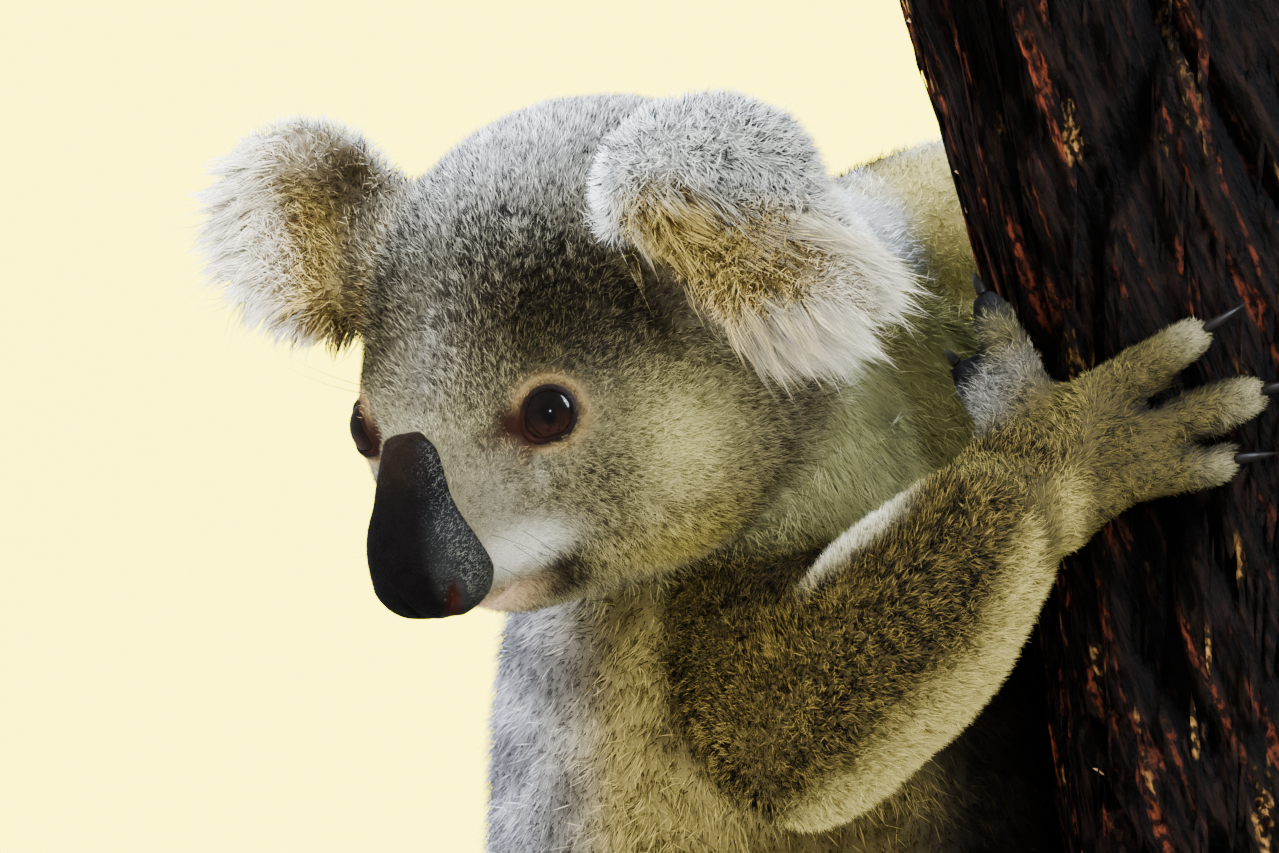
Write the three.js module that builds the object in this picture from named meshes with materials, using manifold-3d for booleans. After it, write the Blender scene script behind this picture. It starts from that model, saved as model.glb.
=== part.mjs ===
// A life-size koala holding on to a cut length of tree trunk, which stands on a flat base by two short rods.
// The koala hangs on the trunk's left side with its arms and legs round it. Its head is turned back over the
// right shoulder and looks down. Millimetres, +Z up; the origin is the centre of the base's underside.
//
// Every part of the body is a shell pulled onto a smooth field of named lumps, out to the tips of the coat.
// The shells are then parted from each other by thin cuts, so that neighbours meet with a small gap.
import * as THREE from "three";
import { mergeVertices } from "three/addons/utils/BufferGeometryUtils.js";
import Module from "manifold-3d";

const wasm = await Module();
wasm.setup();

const v = (x, y, z) => new THREE.Vector3(x, y, z);
const rad = THREE.MathUtils.degToRad;
const lerp = THREE.MathUtils.lerp;

// ---------------------------------------------------------------- driving dimensions
const GAP = 0.4; // left between neighbouring solids
const POSE_HEIGHT = 494; // from the floor up to the pose's own origin, which is level with the eyes
const POSE_OFFSET = v(-140, -112, POSE_HEIGHT); // puts the pose's origin where the base balances

// The body, in the pose's frame: X towards the tree trunk, Y away from the viewer, Z up.
const BODY = {
  core: { from: v(38, 134, -86), to: v(56, 164, -256), fromRadius: 86, toRadius: 86 },
  hump: { at: v(36, 150, -168), radii: v(86, 84, 84) },
  rump: { at: v(58, 168, -284), radii: v(74, 82, 66) },
  belly: { at: v(68, 148, -134), radii: v(80, 76, 104) },
  breast: { at: v(72, 146, -4), radii: v(54, 54, 66) },
  blend: 9,
};
const NECK = { from: v(38, 118, -34), to: v(14, 92, 20), fromRadius: 60, toRadius: 54 };

// The head, in its own frame: X forwards, Y to its left, Z up, from the middle of the braincase.
const HEAD = {
  at: v(-12, 65, 22),
  heading: -131, // degrees about Z: a heading of 0 looks along +X, at the tree trunk
  pitch: 29, // looking down
  roll: 3.5, // left side up
  cranium: { at: v(-6, 0, 9), radii: v(72, 73, 70) },
  face: { at: v(40, 0, 0), radii: v(42, 54, 44) },
  muzzle: { at: v(68, 0, -14), radii: v(30, 26, 30) },
  cheek: { at: v(20, 34, -24), radii: v(42, 29, 33) },
  chin: { from: v(36, 0, -38), to: v(70, 0, -38), fromRadius: 24, toRadius: 11 },
  socket: { at: v(75, 43, 14), radii: v(12, 12, 10) },
  blend: 6,
};
const EYE = { at: v(61.5, 35.5, 11.5), radius: 10 };
const NOSE = {
  bridge: { at: v(88.5, 0, 6), radii: v(11.5, 10.5, 17) },
  pad: { at: v(98, 0, -12), radii: v(14, 16, 17) },
  wing: { at: v(98, 8, -22), radii: v(11, 9.5, 9) },
  blend: 4,
};
// An ear is a fluffy disc with a fringe of long hair and a root on the head. Each frame has X out of its
// opening and Z to its tip.
const EAR_LEFT = {
  at: v(29, -8, 76), // in the pose's frame
  opening: v(0, -0.5, -0.866),
  tip: v(0.93, 0.1, -0.35),
  pinna: { at: v(3, 0, -8), radii: v(19, 37, 33) },
  fringe: { at: v(30, 12, 21), radii: v(25, 26, 32) },
  root: { at: v(12, 2, -26), radii: v(17, 20, 17) },
  blend: 7,
};
const EAR_RIGHT = {
  at: v(-102, 92, 63),
  opening: v(-0.46, -0.85, -0.25),
  tip: v(-0.35, -0.05, 0.93),
  pinna: { at: v(0, 0, 0), radii: v(18, 40, 38) },
  fringe: { at: v(8, 4, -14), radii: v(16, 30, 26) },
  root: { at: v(2, 10, -20), radii: v(14, 16, 16) },
  blend: 4,
};

// Limbs, joint by joint, in the pose's frame, with the radius of flesh and coat at each joint and how
// much they swell between two joints.
const ARM_RADII = { shoulder: 40, elbow: 31, wrist: 25, upperSwell: 3, lowerSwell: 8 };
const ARM_RIGHT = { shoulder: v(39, 84, -64), elbow: v(50, 24, -94), wrist: v(109, 12, -24) };
const ARM_LEFT = { shoulder: v(44, 170, 31), elbow: v(80, 212, 62), wrist: v(150, 190, 70) };
const JOINT_STEP = 3; // how much slimmer the upper part is where it meets the lower
const LEG_RADII = { hip: 54, knee: 38, ankle: 22, upperSwell: 4, lowerSwell: 3 };
const LEG_RIGHT = { hip: v(74, 118, -276), knee: v(88, 36, -232), ankle: v(144, 18, -296) };
const LEG_LEFT = { hip: v(84, 214, -270), knee: v(112, 262, -222), ankle: v(160, 190, -288) };

// A paw lies in its own frame: X from wrist or heel to the toes, Y to the thumb's side, Z out of its back.
// A digit has its base, tip and radii, and its claw's length and how far the claw's tip bends inwards.
const HAND = {
  palm: [
    { at: v(6, -9, 0), radii: v(27, 27, 13) },
    { at: v(28, -3, 0), radii: v(18, 21, 11) },
  ],
  digits: [
    { name: "1", base: v(4, 10, -2), tip: v(-5, 29, -10), radii: [9, 6.8], claw: 7, drop: 8 },
    { name: "2", base: v(12, 14, -2), tip: v(7, 46, -10), radii: [9.5, 7.4], claw: 8, drop: 11 },
    { name: "3", base: v(24, 10, 0), tip: v(62, 21, 0), radii: [9.5, 7.6], claw: 16, drop: 7 },
    { name: "4", base: v(28, -1, 0), tip: v(73, 0, 0), radii: [9.5, 7.6], claw: 16, drop: 7 },
    { name: "5", base: v(24, -11, 0), tip: v(59, -16, 0), radii: [11.5, 8.2], claw: 15, drop: 7 },
  ],
};
const FOOT = {
  palm: [
    { at: v(16, 0, 0), radii: v(28, 19, 13) },
    { at: v(44, 0, 0), radii: v(24, 21, 12) },
  ],
  digits: [
    { name: "1", base: v(30, 12, -2), tip: v(20, 40, -6), radii: [11, 9], claw: 0, drop: 0 },
    { name: "2", base: v(53, 12, 0), tip: v(77, 20, 0), radii: [8, 6], claw: 12, drop: 6 },
    { name: "3", base: v(55, 6, 0), tip: v(82, 12, 0), radii: [8, 6], claw: 12, drop: 6 },
    { name: "4", base: v(54, 0, 0), tip: v(93, 1, 0), radii: [9.5, 8], claw: 16, drop: 7 },
    { name: "5", base: v(50, -10, 0), tip: v(84, -16, 0), radii: [9.5, 8], claw: 15, drop: 7 },
  ],
};
const CLAW = { baseRadius: 2.7, tipRadius: 0.5, inset: 3 };

// The tree trunk: a flattened round with ridges of bark, leaning over the koala at its top.
const TRUNK = {
  bottom: -400,
  top: 172,
  x: 222, // of its centre line at the bottom
  y: 92,
  lean: 69, // how far the centre line has moved to the left at the top
  leanPower: 3.4,
  halfWidth: 86,
  halfDepth: 80,
  square: 2.8, // 2 is an ellipse, and more is squarer
  ridges: 9,
  ridgeDepth: 3,
  sides: 30,
  rows: 8,
};
const STAND = { radius: 215, thickness: 18, edge: 5, rodRadius: 9, rodSpacing: 90, sides: 36 };

// ---------------------------------------------------------------- fields
// A field is a function of a point, negative inside, and near enough the distance to its surface.
function ball({ at, radii }) {
  const local = v(0, 0, 0);
  return (p) => {
    local.copy(p).sub(at).divide(radii);
    const far = local.length();
    const slope = local.divide(radii).length();
    return slope < 1e-9 ? -Math.min(radii.x, radii.y, radii.z) : (far * (far - 1)) / slope;
  };
}

function taper({ from, to, fromRadius, toRadius }) {
  const axis = to.clone().sub(from);
  const local = v(0, 0, 0);
  return (p) => {
    const along = THREE.MathUtils.clamp(local.copy(p).sub(from).dot(axis) / axis.lengthSq(), 0, 1);
    return local.addScaledVector(axis, -along).length() - lerp(fromRadius, toRadius, along);
  };
}

// Several fields melted into one, with no crease narrower than the blend.
const melt =
  (blend, ...fields) =>
  (p) =>
    -blend * Math.log(fields.reduce((sum, field) => sum + Math.exp(-field(p) / blend), 0));

const mirrored = (lump) => ({ ...lump, at: lump.at.clone().multiply(v(1, -1, 1)) });

// A round limb between two joints that swells in the middle.
function swollen({ from, to, fromRadius, toRadius, swell }) {
  const axis = to.clone().sub(from);
  const local = v(0, 0, 0);
  return (p) => {
    const along = THREE.MathUtils.clamp(local.copy(p).sub(from).dot(axis) / axis.lengthSq(), 0, 1);
    const radius = lerp(fromRadius, toRadius, along) + swell * Math.sin(Math.PI * along);
    return local.addScaledVector(axis, -along).length() - radius;
  };
}

// How far from a point inside a field its surface is, along a direction.
function reach(field, origin, direction) {
  const STEP = 2;
  const HALVINGS = 12;
  const p = v(0, 0, 0);
  const at = (distance) => field(p.copy(origin).addScaledVector(direction, distance));
  let outside = 0;
  while (at(outside) < 0) outside += STEP;
  let inside = Math.max(outside - STEP, 0);
  for (let i = 0; i < HALVINGS; i++) {
    const middle = (inside + outside) / 2;
    if (at(middle) < 0) inside = middle;
    else outside = middle;
  }
  return inside;
}

// ---------------------------------------------------------------- shells
// The same surface with one point where several met.
function welded(raw) {
  const bare = raw.clone();
  bare.deleteAttribute("normal");
  bare.deleteAttribute("uv");
  return mergeVertices(bare, 1e-4);
}

function movePoints(raw, move) {
  const geometry = welded(raw);
  const position = geometry.getAttribute("position");
  const p = v(0, 0, 0);
  for (let i = 0; i < position.count; i++) {
    p.fromBufferAttribute(position, i);
    move(p);
    position.setXYZ(i, p.x, p.y, p.z);
  }
  return geometry;
}

// A round shell: every ray from the centre stops at the field's surface.
function roundShell(field, centre, detail) {
  return movePoints(new THREE.IcosahedronGeometry(1, detail), (p) => {
    const direction = p.clone().normalize();
    p.copy(centre).addScaledVector(direction, reach(field, centre, direction));
  });
}

// A long shell: the rays leave a line inside the field, and fan out at its two ends.
function longShell(field, from, to, { sides, rings, cap }) {
  const axis = to.clone().sub(from);
  const turn = new THREE.Quaternion().setFromUnitVectors(v(0, 1, 0), axis.clone().normalize());
  return movePoints(new THREE.CapsuleGeometry(1, 2, cap, sides, rings), (p) => {
    const along = THREE.MathUtils.clamp(p.y, -1, 1);
    const direction = p.clone().sub(v(0, along, 0)).normalize().applyQuaternion(turn);
    const origin = from.clone().addScaledVector(axis, (along + 1) / 2);
    p.copy(origin).addScaledVector(direction, reach(field, origin, direction));
  });
}

// A horn: a cone bent along a curve, from a round base to a blunt tip.
function horn(curve, { baseRadius, tipRadius }, sides, rows) {
  const frames = curve.computeFrenetFrames(rows, false);
  return movePoints(new THREE.CylinderGeometry(1, 1, 1, sides, rows), (p) => {
    const along = p.y + 0.5;
    const row = Math.round(along * rows);
    const radius = lerp(baseRadius, tipRadius, along ** 1.3);
    const across = frames.normals[row].clone().multiplyScalar(p.x * radius);
    const up = frames.binormals[row].clone().multiplyScalar(p.z * radius);
    p.copy(curve.getPointAt(along)).add(across).add(up);
  });
}

// ---------------------------------------------------------------- solids
// A solid of a closed surface, whichever way round its triangles run.
function solidOf(geometry) {
  const merged = welded(geometry);
  const corners = merged.index.array;
  const outwards = [];
  const inwards = [];
  for (let i = 0; i < corners.length; i += 3) {
    const [a, b, c] = corners.slice(i, i + 3);
    if (a === b || b === c || c === a) continue;
    outwards.push(a, b, c);
    inwards.push(a, c, b);
  }
  const vertProperties = merged.getAttribute("position").array;
  const made = [outwards, inwards].map((order) => {
    const triVerts = new Uint32Array(order);
    return new wasm.Manifold(new wasm.Mesh({ numProp: 3, vertProperties, triVerts }));
  });
  return made.find((solid) => solid.volume() > 0);
}

function geometryOf(solid) {
  const { numProp, numVert, vertProperties, triVerts } = solid.getMesh();
  const points = new Float32Array(numVert * 3);
  for (let i = 0; i < numVert; i++) {
    points.set(vertProperties.subarray(i * numProp, i * numProp + 3), i * 3);
  }
  const geometry = new THREE.BufferGeometry();
  geometry.setAttribute("position", new THREE.BufferAttribute(points, 3));
  geometry.setIndex(new THREE.BufferAttribute(triVerts, 1));
  geometry.computeVertexNormals();
  return geometry;
}

// The same solid with its surface moved out by the gap.
function grown(solid) {
  const geometry = geometryOf(solid);
  const normal = geometry.getAttribute("normal");
  const position = geometry.getAttribute("position");
  for (let i = 0; i < position.count; i++) {
    position.setXYZ(
      i,
      position.getX(i) + normal.getX(i) * GAP,
      position.getY(i) + normal.getY(i) * GAP,
      position.getZ(i) + normal.getZ(i) * GAP,
    );
  }
  return solidOf(geometry);
}

const largest = (solid) => solid.decompose().reduce((a, b) => (a.volume() > b.volume() ? a : b));

// ---------------------------------------------------------------- head
const headFrame = new THREE.Matrix4().compose(
  HEAD.at,
  new THREE.Quaternion().setFromEuler(
    new THREE.Euler(rad(HEAD.roll), rad(HEAD.pitch), rad(HEAD.heading), "ZYX"),
  ),
  v(1, 1, 1),
);
const inHead = (geometry) => solidOf(geometry.applyMatrix4(headFrame));

function head() {
  const { cranium, face, muzzle, cheek, chin, socket, blend } = HEAD;
  const lumps = [cranium, face, muzzle, cheek, mirrored(cheek)].map(ball);
  const filled = melt(blend, ...lumps, taper(chin));
  const sockets = melt(2, ball(socket), ball(mirrored(socket)));
  const field = (p) => Math.max(filled(p), -sockets(p));
  return inHead(roundShell(field, v(14, 0, -4), 6));
}

function nose() {
  const { bridge, pad, wing, blend } = NOSE;
  const field = melt(blend, ...[bridge, pad, wing, mirrored(wing)].map(ball));
  return inHead(roundShell(field, pad.at, 3));
}

function eye(side) {
  const { at, radius } = EYE;
  const globe = new THREE.IcosahedronGeometry(radius, 2);
  return inHead(globe.translate(at.x, side * at.y, at.z));
}

function ear({ at, opening, tip, pinna, fringe, root, blend }) {
  const z = tip.clone().addScaledVector(opening, -tip.dot(opening)).normalize();
  const frame = new THREE.Matrix4().makeBasis(opening, z.clone().cross(opening), z).setPosition(at);
  const field = melt(blend, ...[pinna, fringe, root].map(ball));
  return solidOf(roundShell(field, fringe.at.clone().multiplyScalar(0.4), 3).applyMatrix4(frame));
}

// ---------------------------------------------------------------- body and limbs
function torso() {
  const { core, hump, rump, belly, breast, blend } = BODY;
  const field = melt(blend, taper(core), ...[hump, rump, belly, breast].map(ball));
  return solidOf(longShell(field, core.from, core.to, { sides: 18, rings: 4, cap: 4 }));
}

function neck() {
  return solidOf(longShell(taper(NECK), NECK.from, NECK.to, { sides: 12, rings: 1, cap: 2 }));
}

function limb(from, to, fromRadius, toRadius, swell) {
  const field = swollen({ from, to, fromRadius, toRadius, swell });
  return solidOf(longShell(field, from, to, { sides: 10, rings: 2, cap: 2 }));
}

// The frame of a paw, from its heel, the way its toes point, the way out of its back, and its thumb's side.
function pawFrame(at, toes, back, thumbSide) {
  const x = toes.clone().normalize();
  const z = back.clone().addScaledVector(x, -back.dot(x)).normalize();
  const y = z.clone().cross(x).multiplyScalar(thumbSide);
  return new THREE.Matrix4().makeBasis(x, y, z).setPosition(at);
}

function digit({ base, tip, radii }) {
  const field = taper({ from: base, to: tip, fromRadius: radii[0], toRadius: radii[1] });
  return longShell(field, base, tip, { sides: 6, rings: 1, cap: 2 });
}

function claw({ base, tip, radii, claw: length, drop }) {
  const way = tip.clone().sub(base).normalize();
  const root = tip.clone().addScaledVector(way, radii[1] - CLAW.inset).add(v(0, 0, radii[1] * 0.3));
  const middle = root.clone().addScaledVector(way, length * 0.55);
  const end = root.clone().addScaledVector(way, length).add(v(0, 0, -drop));
  return horn(new THREE.QuadraticBezierCurve3(root, middle, end), CLAW, 6, 3);
}

// A paw's flesh as one solid, and its claws by the names of their digits.
function paw(plan, frame) {
  const place = (geometry) => solidOf(geometry.applyMatrix4(frame));
  const palmField = melt(3, ...plan.palm.map(ball));
  const palm = longShell(palmField, plan.palm[0].at, plan.palm[1].at, { sides: 9, rings: 1, cap: 2 });
  const flesh = wasm.Manifold.union([palm, ...plan.digits.map(digit)].map(place));
  const claws = plan.digits
    .filter((one) => one.claw > 0)
    .map((one) => [one.name, place(claw(one))]);
  return { flesh, claws };
}

// ---------------------------------------------------------------- tree trunk and stand
function trunkCentre(z) {
  const up = (z - TRUNK.bottom) / (TRUNK.top - TRUNK.bottom);
  return v(TRUNK.x - TRUNK.lean * up ** TRUNK.leanPower, TRUNK.y, z);
}

function treeTrunk() {
  const { bottom, top, halfWidth, halfDepth, square, ridges, ridgeDepth, sides, rows } = TRUNK;
  const raw = new THREE.CylinderGeometry(1, 1, 1, sides, rows).rotateX(Math.PI / 2);
  return solidOf(
    movePoints(raw, (p) => {
      const z = lerp(bottom, top, p.z + 0.5);
      const centre = trunkCentre(z);
      const angle = Math.atan2(p.y, p.x);
      const [c, s] = [Math.cos(angle), Math.sin(angle)];
      const edge = (Math.abs(c / halfWidth) ** square + Math.abs(s / halfDepth) ** square) ** (-1 / square);
      const bark = ridgeDepth * Math.sin(ridges * angle + z / 60) * Math.cos(z / 90 + 2 * angle);
      const radius = (edge + bark) * Math.hypot(p.x, p.y);
      p.set(centre.x + c * radius, centre.y + s * radius, z);
    }),
  );
}

function standBase() {
  const { radius, thickness, edge, sides } = STAND;
  const profile = [
    [0, 0],
    [radius - edge / 2, 0],
    [radius, edge / 2],
    [radius, thickness - edge],
    [radius - edge, thickness],
    [0, thickness],
  ].map(([x, y]) => new THREE.Vector2(x, y));
  return solidOf(new THREE.LatheGeometry(profile, sides).rotateX(Math.PI / 2));
}

function standRod(side) {
  const foot = trunkCentre(TRUNK.bottom).add(POSE_OFFSET);
  const length = foot.z - STAND.thickness - 2 * GAP;
  const rod = new THREE.CylinderGeometry(STAND.rodRadius, STAND.rodRadius, length, 16);
  const middle = STAND.thickness + GAP + length / 2;
  rod.rotateX(Math.PI / 2).translate(foot.x + (side * STAND.rodSpacing) / 2, foot.y, middle);
  return solidOf(rod);
}

// ---------------------------------------------------------------- the part, put together
const material = (color, roughness, metalness = 0) =>
  new THREE.MeshStandardMaterial({ color, roughness, metalness });
const FINISH = {
  greyCoat: material(0x7f7c70, 0.95),
  paleCoat: material(0xc9c4b0, 0.95),
  noseLeather: material(0x1d1a1b, 0.45),
  eyeGloss: material(0x1c0f0c, 0.08),
  clawHorn: material(0x1b1817, 0.35),
  bark: material(0x33231b, 0.9),
  standPaint: material(0x2b2a28, 0.45, 0.2),
};

const VIEWER = v(0, -1, 0);
const BEHIND = v(0, 1, 0);
const pawFrames = {
  hand_right: pawFrame(v(109, 12, -11), v(0.962, -0.08, 0.273), VIEWER, 1),
  hand_left: pawFrame(v(154, 184, 76), v(0.94, 0.02, 0.34), BEHIND, -1),
  foot_right: pawFrame(v(148, 16, -297), v(0.86, -0.16, 0.5), VIEWER, 1),
  foot_left: pawFrame(v(164, 180, -287), v(0.86, 0.04, 0.5), BEHIND, -1),
};

// Parts are listed from what keeps its whole shape to what gives way to it.
const whole = [["perch_trunk", treeTrunk(), FINISH.bark]];
const giving = [];
for (const [name, frame] of Object.entries(pawFrames)) {
  const { flesh, claws } = paw(name.startsWith("hand") ? HAND : FOOT, frame);
  for (const [digitName, solid] of claws) whole.push([`claw_${name}_${digitName}`, solid, FINISH.clawHorn]);
  giving.push([name, flesh, FINISH.greyCoat]);
}
whole.push(
  ["eye_left", eye(1), FINISH.eyeGloss],
  ["eye_right", eye(-1), FINISH.eyeGloss],
  ["nose", nose(), FINISH.noseLeather],
);
giving.push(["head", head(), FINISH.greyCoat]);
giving.push(["ear_left", ear(EAR_LEFT), FINISH.paleCoat], ["ear_right", ear(EAR_RIGHT), FINISH.paleCoat]);
for (const [side, arm, leg] of [
  ["right", ARM_RIGHT, LEG_RIGHT],
  ["left", ARM_LEFT, LEG_LEFT],
]) {
  const { shoulder, elbow, wrist, upperSwell, lowerSwell } = ARM_RADII;
  giving.push(
    [`forearm_${side}`, limb(arm.elbow, arm.wrist, elbow, wrist, lowerSwell), FINISH.greyCoat],
    [`upper_arm_${side}`, limb(arm.shoulder, arm.elbow, shoulder, elbow - JOINT_STEP, upperSwell), FINISH.greyCoat],
  );
  const { hip, knee, ankle, upperSwell: thighSwell, lowerSwell: shankSwell } = LEG_RADII;
  giving.push(
    [`shank_${side}`, limb(leg.knee, leg.ankle, knee, ankle, shankSwell), FINISH.greyCoat],
    [`thigh_${side}`, limb(leg.hip, leg.knee, hip, knee - JOINT_STEP, thighSwell), FINISH.greyCoat],
  );
}
giving.push(["neck", neck(), FINISH.paleCoat], ["torso", torso(), FINISH.greyCoat]);

const koala = new THREE.Group();
koala.position.copy(POSE_OFFSET);
const stand = new THREE.Group();
const addTo = (group, name, solid, finish) => {
  const mesh = new THREE.Mesh(geometryOf(solid), finish);
  mesh.name = name;
  group.add(mesh);
};

const before = [];
for (const [name, solid, finish] of [...whole, ...giving]) {
  const parted = before.reduce((rest, other) => rest.subtract(other), solid);
  addTo(koala, name, largest(parted), finish);
  before.push(grown(solid));
}
addTo(stand, "stand_base", standBase(), FINISH.standPaint);
addTo(stand, "stand_rod_left", standRod(-1), FINISH.standPaint);
addTo(stand, "stand_rod_right", standRod(1), FINISH.standPaint);

const part = new THREE.Group();
part.add(koala, stand);
export default part;
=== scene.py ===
"""Looks of a life-size koala that clings to a cut length of tree trunk on a plain stand.

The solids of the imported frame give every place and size. One skin is pulled from the solids of flesh and lies
inside them by the coat's depth. The coat is solid tufts, rooted all over that skin, which reach back out to the
solids. Lengths are in metres in the row's frame, except in the head's own frame, which is in millimetres.
"""

import itertools
import logging
import math
from collections.abc import Callable, Iterator, Sequence
from contextlib import contextmanager
from dataclasses import dataclass
from enum import Enum
from typing import Any

import bmesh
import bpy
import numpy as np
from mathutils import Matrix, Vector
from mathutils.bvhtree import BVHTree
from mathutils.kdtree import KDTree


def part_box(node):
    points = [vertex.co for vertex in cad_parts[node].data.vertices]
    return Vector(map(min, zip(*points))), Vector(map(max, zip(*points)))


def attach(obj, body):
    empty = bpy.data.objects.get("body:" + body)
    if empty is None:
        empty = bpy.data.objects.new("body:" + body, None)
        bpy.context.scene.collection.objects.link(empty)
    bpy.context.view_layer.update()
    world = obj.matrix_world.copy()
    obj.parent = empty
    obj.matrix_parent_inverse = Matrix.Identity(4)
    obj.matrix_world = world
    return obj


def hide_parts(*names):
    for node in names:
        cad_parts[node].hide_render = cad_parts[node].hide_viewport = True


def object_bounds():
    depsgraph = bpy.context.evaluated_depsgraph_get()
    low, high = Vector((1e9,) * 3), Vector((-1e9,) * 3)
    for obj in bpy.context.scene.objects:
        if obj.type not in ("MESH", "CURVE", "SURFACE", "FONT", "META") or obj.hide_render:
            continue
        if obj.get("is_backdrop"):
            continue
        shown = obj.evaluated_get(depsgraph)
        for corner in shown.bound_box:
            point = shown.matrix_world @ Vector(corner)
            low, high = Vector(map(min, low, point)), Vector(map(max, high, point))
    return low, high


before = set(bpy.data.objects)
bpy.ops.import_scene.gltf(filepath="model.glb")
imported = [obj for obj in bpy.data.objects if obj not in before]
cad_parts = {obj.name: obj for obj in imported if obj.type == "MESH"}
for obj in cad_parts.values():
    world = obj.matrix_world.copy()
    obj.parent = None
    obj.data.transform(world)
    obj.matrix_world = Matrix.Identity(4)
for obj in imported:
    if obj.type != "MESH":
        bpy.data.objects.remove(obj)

log = logging.getLogger("koala")
Array = np.ndarray
Triple = tuple[float, float, float]
Colour = Triple
MM = 0.001
SEED = 7
BODY = "root"
TINT = "Tint"
# A number for each point: gloss on the skin, and on the bark a painted shade that darkens the furrows.
GLOSS_AND_FURROW_SHADE = "Gloss"
BAKE_MAP = "OFBake"
PATCH = 0.003
SIDES = {"eye_left": 1, "eye_right": -1}


class Slot(Enum):
    """Material slots of the row."""

    COAT_GREY = "coat_grey"
    COAT_PALE = "coat_pale"
    NOSE = "nose_leather"
    EYE = "eye"
    CLAW = "claw"
    BARK = "bark"
    STAND = "stand"
    ROD = "rod"


class Region(Enum):
    """Parts of the body whose coats differ."""

    HEAD = "head"
    EAR = "ear"
    NECK = "neck"
    TORSO = "torso"
    UPPER_ARM = "upper_arm"
    FOREARM = "forearm"
    HAND = "hand"
    THIGH = "thigh"
    SHANK = "shank"
    FOOT = "foot"


FLESH_NODES = ["head", "neck", "torso"] + [
    f"{part}_{side}"
    for part in ("ear", "upper_arm", "forearm", "hand", "thigh", "shank", "foot")
    for side in ("left", "right")
]


# ---------------------------------------------------------------- arithmetic on arrays of points
def unit(vectors: Array) -> Array:
    """Scales a vector, or each row of vectors, to length one."""
    return vectors / np.maximum(np.linalg.norm(vectors, axis=-1, keepdims=True), 1e-12)


def flattened(ways: Array, out: Array) -> Array:
    """Ways laid flat against the way out, with length one, alone or in rows."""
    return unit(ways - out * (ways * out).sum(-1, keepdims=True))


def smoothstep(low: float, high: float, values: Array) -> Array:
    """Rises smoothly from 0 at low to 1 at high, which may be below low."""
    share = np.clip((values - low) / (high - low), 0, 1)
    return share * share * (3 - 2 * share)


def blob(points: Array, centre: Sequence[float], radii: Sequence[float]) -> Array:
    """A soft lump: 1 at its centre, falling to about a third at its radii."""
    return np.exp(-(((points - np.array(centre)) / np.array(radii)) ** 2).sum(1))


def _hashed(cells: Array, seed: int) -> Array:
    """Repeatable random numbers of whole-number cells, from 0 to 1.

    Args:
        cells: Whole numbers in rows.
        seed: Which numbers.

    Returns:
        One for each row.
    """
    mixed = (cells[:, 0] * 73856093) ^ (cells[:, 1] * 19349663) ^ (cells[:, 2] * 83492791) ^ (seed * 2654435761)
    mixed = (mixed ^ (mixed >> 13)) * 1274126177
    return ((mixed ^ (mixed >> 16)) & 0xFFFFFF) / 0xFFFFFF


def noise(points: Array, size: float, seed: int) -> Array:
    """Smooth random values in space.

    Args:
        points: One point in each row.
        size: How far apart the values change.
        seed: Which noise.

    Returns:
        A value from 0 to 1 for each point.
    """
    grid = points / size + 512
    cell = np.floor(grid).astype(np.int64)
    part = grid - cell
    part = part * part * (3 - 2 * part)
    total = np.zeros(len(points))
    for corner in itertools.product((0, 1), repeat=3):
        weight = np.prod(np.where(np.array(corner, bool), part, 1 - part), axis=1)
        total += weight * _hashed(cell + np.array(corner), seed)
    return total


def noise_vectors(points: Array, size: float, seed: int) -> Array:
    """Smooth random vectors in space, each part from -1 to 1."""
    return np.stack([noise(points, size, seed + k) for k in range(3)], axis=1) * 2 - 1


def linear(colour: Sequence[float]) -> Array:
    """A display colour of 0 to 255 as linear light of 0 to 1."""
    share = np.asarray(colour, float) / 255
    return np.where(share <= 0.04045, share / 12.92, ((share + 0.055) / 1.055) ** 2.4)


def mix(first: Array, second: Array, share: Array) -> Array:
    """Blends rows of first into second by a share for each row."""
    return first + (second - first) * np.asarray(share)[..., None]


@dataclass(frozen=True)
class LocalFrame:
    """A frame of its own inside the row's frame.

    Attributes:
        origin: Its origin, in the row's frame.
        axes: Its x, y and z directions in rows.
        scale: The length of its unit, in metres.
    """

    origin: Array
    axes: Array
    scale: float = MM

    def inside(self, points: Array) -> Array:
        """Points of the row's frame in this frame."""
        return (points - self.origin) @ self.axes.T / self.scale

    def outside(self, points: Array) -> Array:
        """Points of this frame in the row's frame."""
        return points @ self.axes * self.scale + self.origin

    def turned_out(self, vectors: Array) -> Array:
        """Directions of this frame in the row's frame."""
        return vectors @ self.axes


@dataclass(frozen=True)
class Rise:
    """A value that rises with the distance from something.

    Attributes:
        least: The value near it.
        more: How much higher it is far off.
        start: The distance where it starts to rise.
        end: The distance where it is highest.
    """

    least: float
    more: float
    start: float
    end: float

    def at(self, distance: Array) -> Array:
        """The value at each distance."""
        return self.least + self.more * smoothstep(self.start, self.end, distance)


def centre_of(node: str) -> Array:
    """The middle of a node's box, in metres."""
    low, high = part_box(node)
    return np.array((low + high) / 2)


@dataclass(frozen=True)
class HeadPlan:
    """Where the head's own frame lies against its eyes and nose, in millimetres and degrees."""

    eyes_ahead: float = 61.5
    eyes_up: float = 11.5
    nose_drop: float = 31.5

    def frame(self) -> LocalFrame:
        """The head's frame: x forwards, y to its left, z up.

        Returns:
            The frame, found from the boxes of the eyes and the nose.
        """
        middle = (centre_of("eye_left") + centre_of("eye_right")) / 2
        left = unit(centre_of("eye_left") - centre_of("eye_right"))
        to_nose = flattened(centre_of("nose") - middle, left)
        drop = math.radians(self.nose_drop)
        across = np.cross(to_nose, left)
        ahead = to_nose * math.cos(drop) + across * math.sin(drop)
        up = np.cross(ahead, left)
        origin = middle - (ahead * self.eyes_ahead + up * self.eyes_up) * MM
        return LocalFrame(origin, np.stack([ahead, left, up]))


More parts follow.
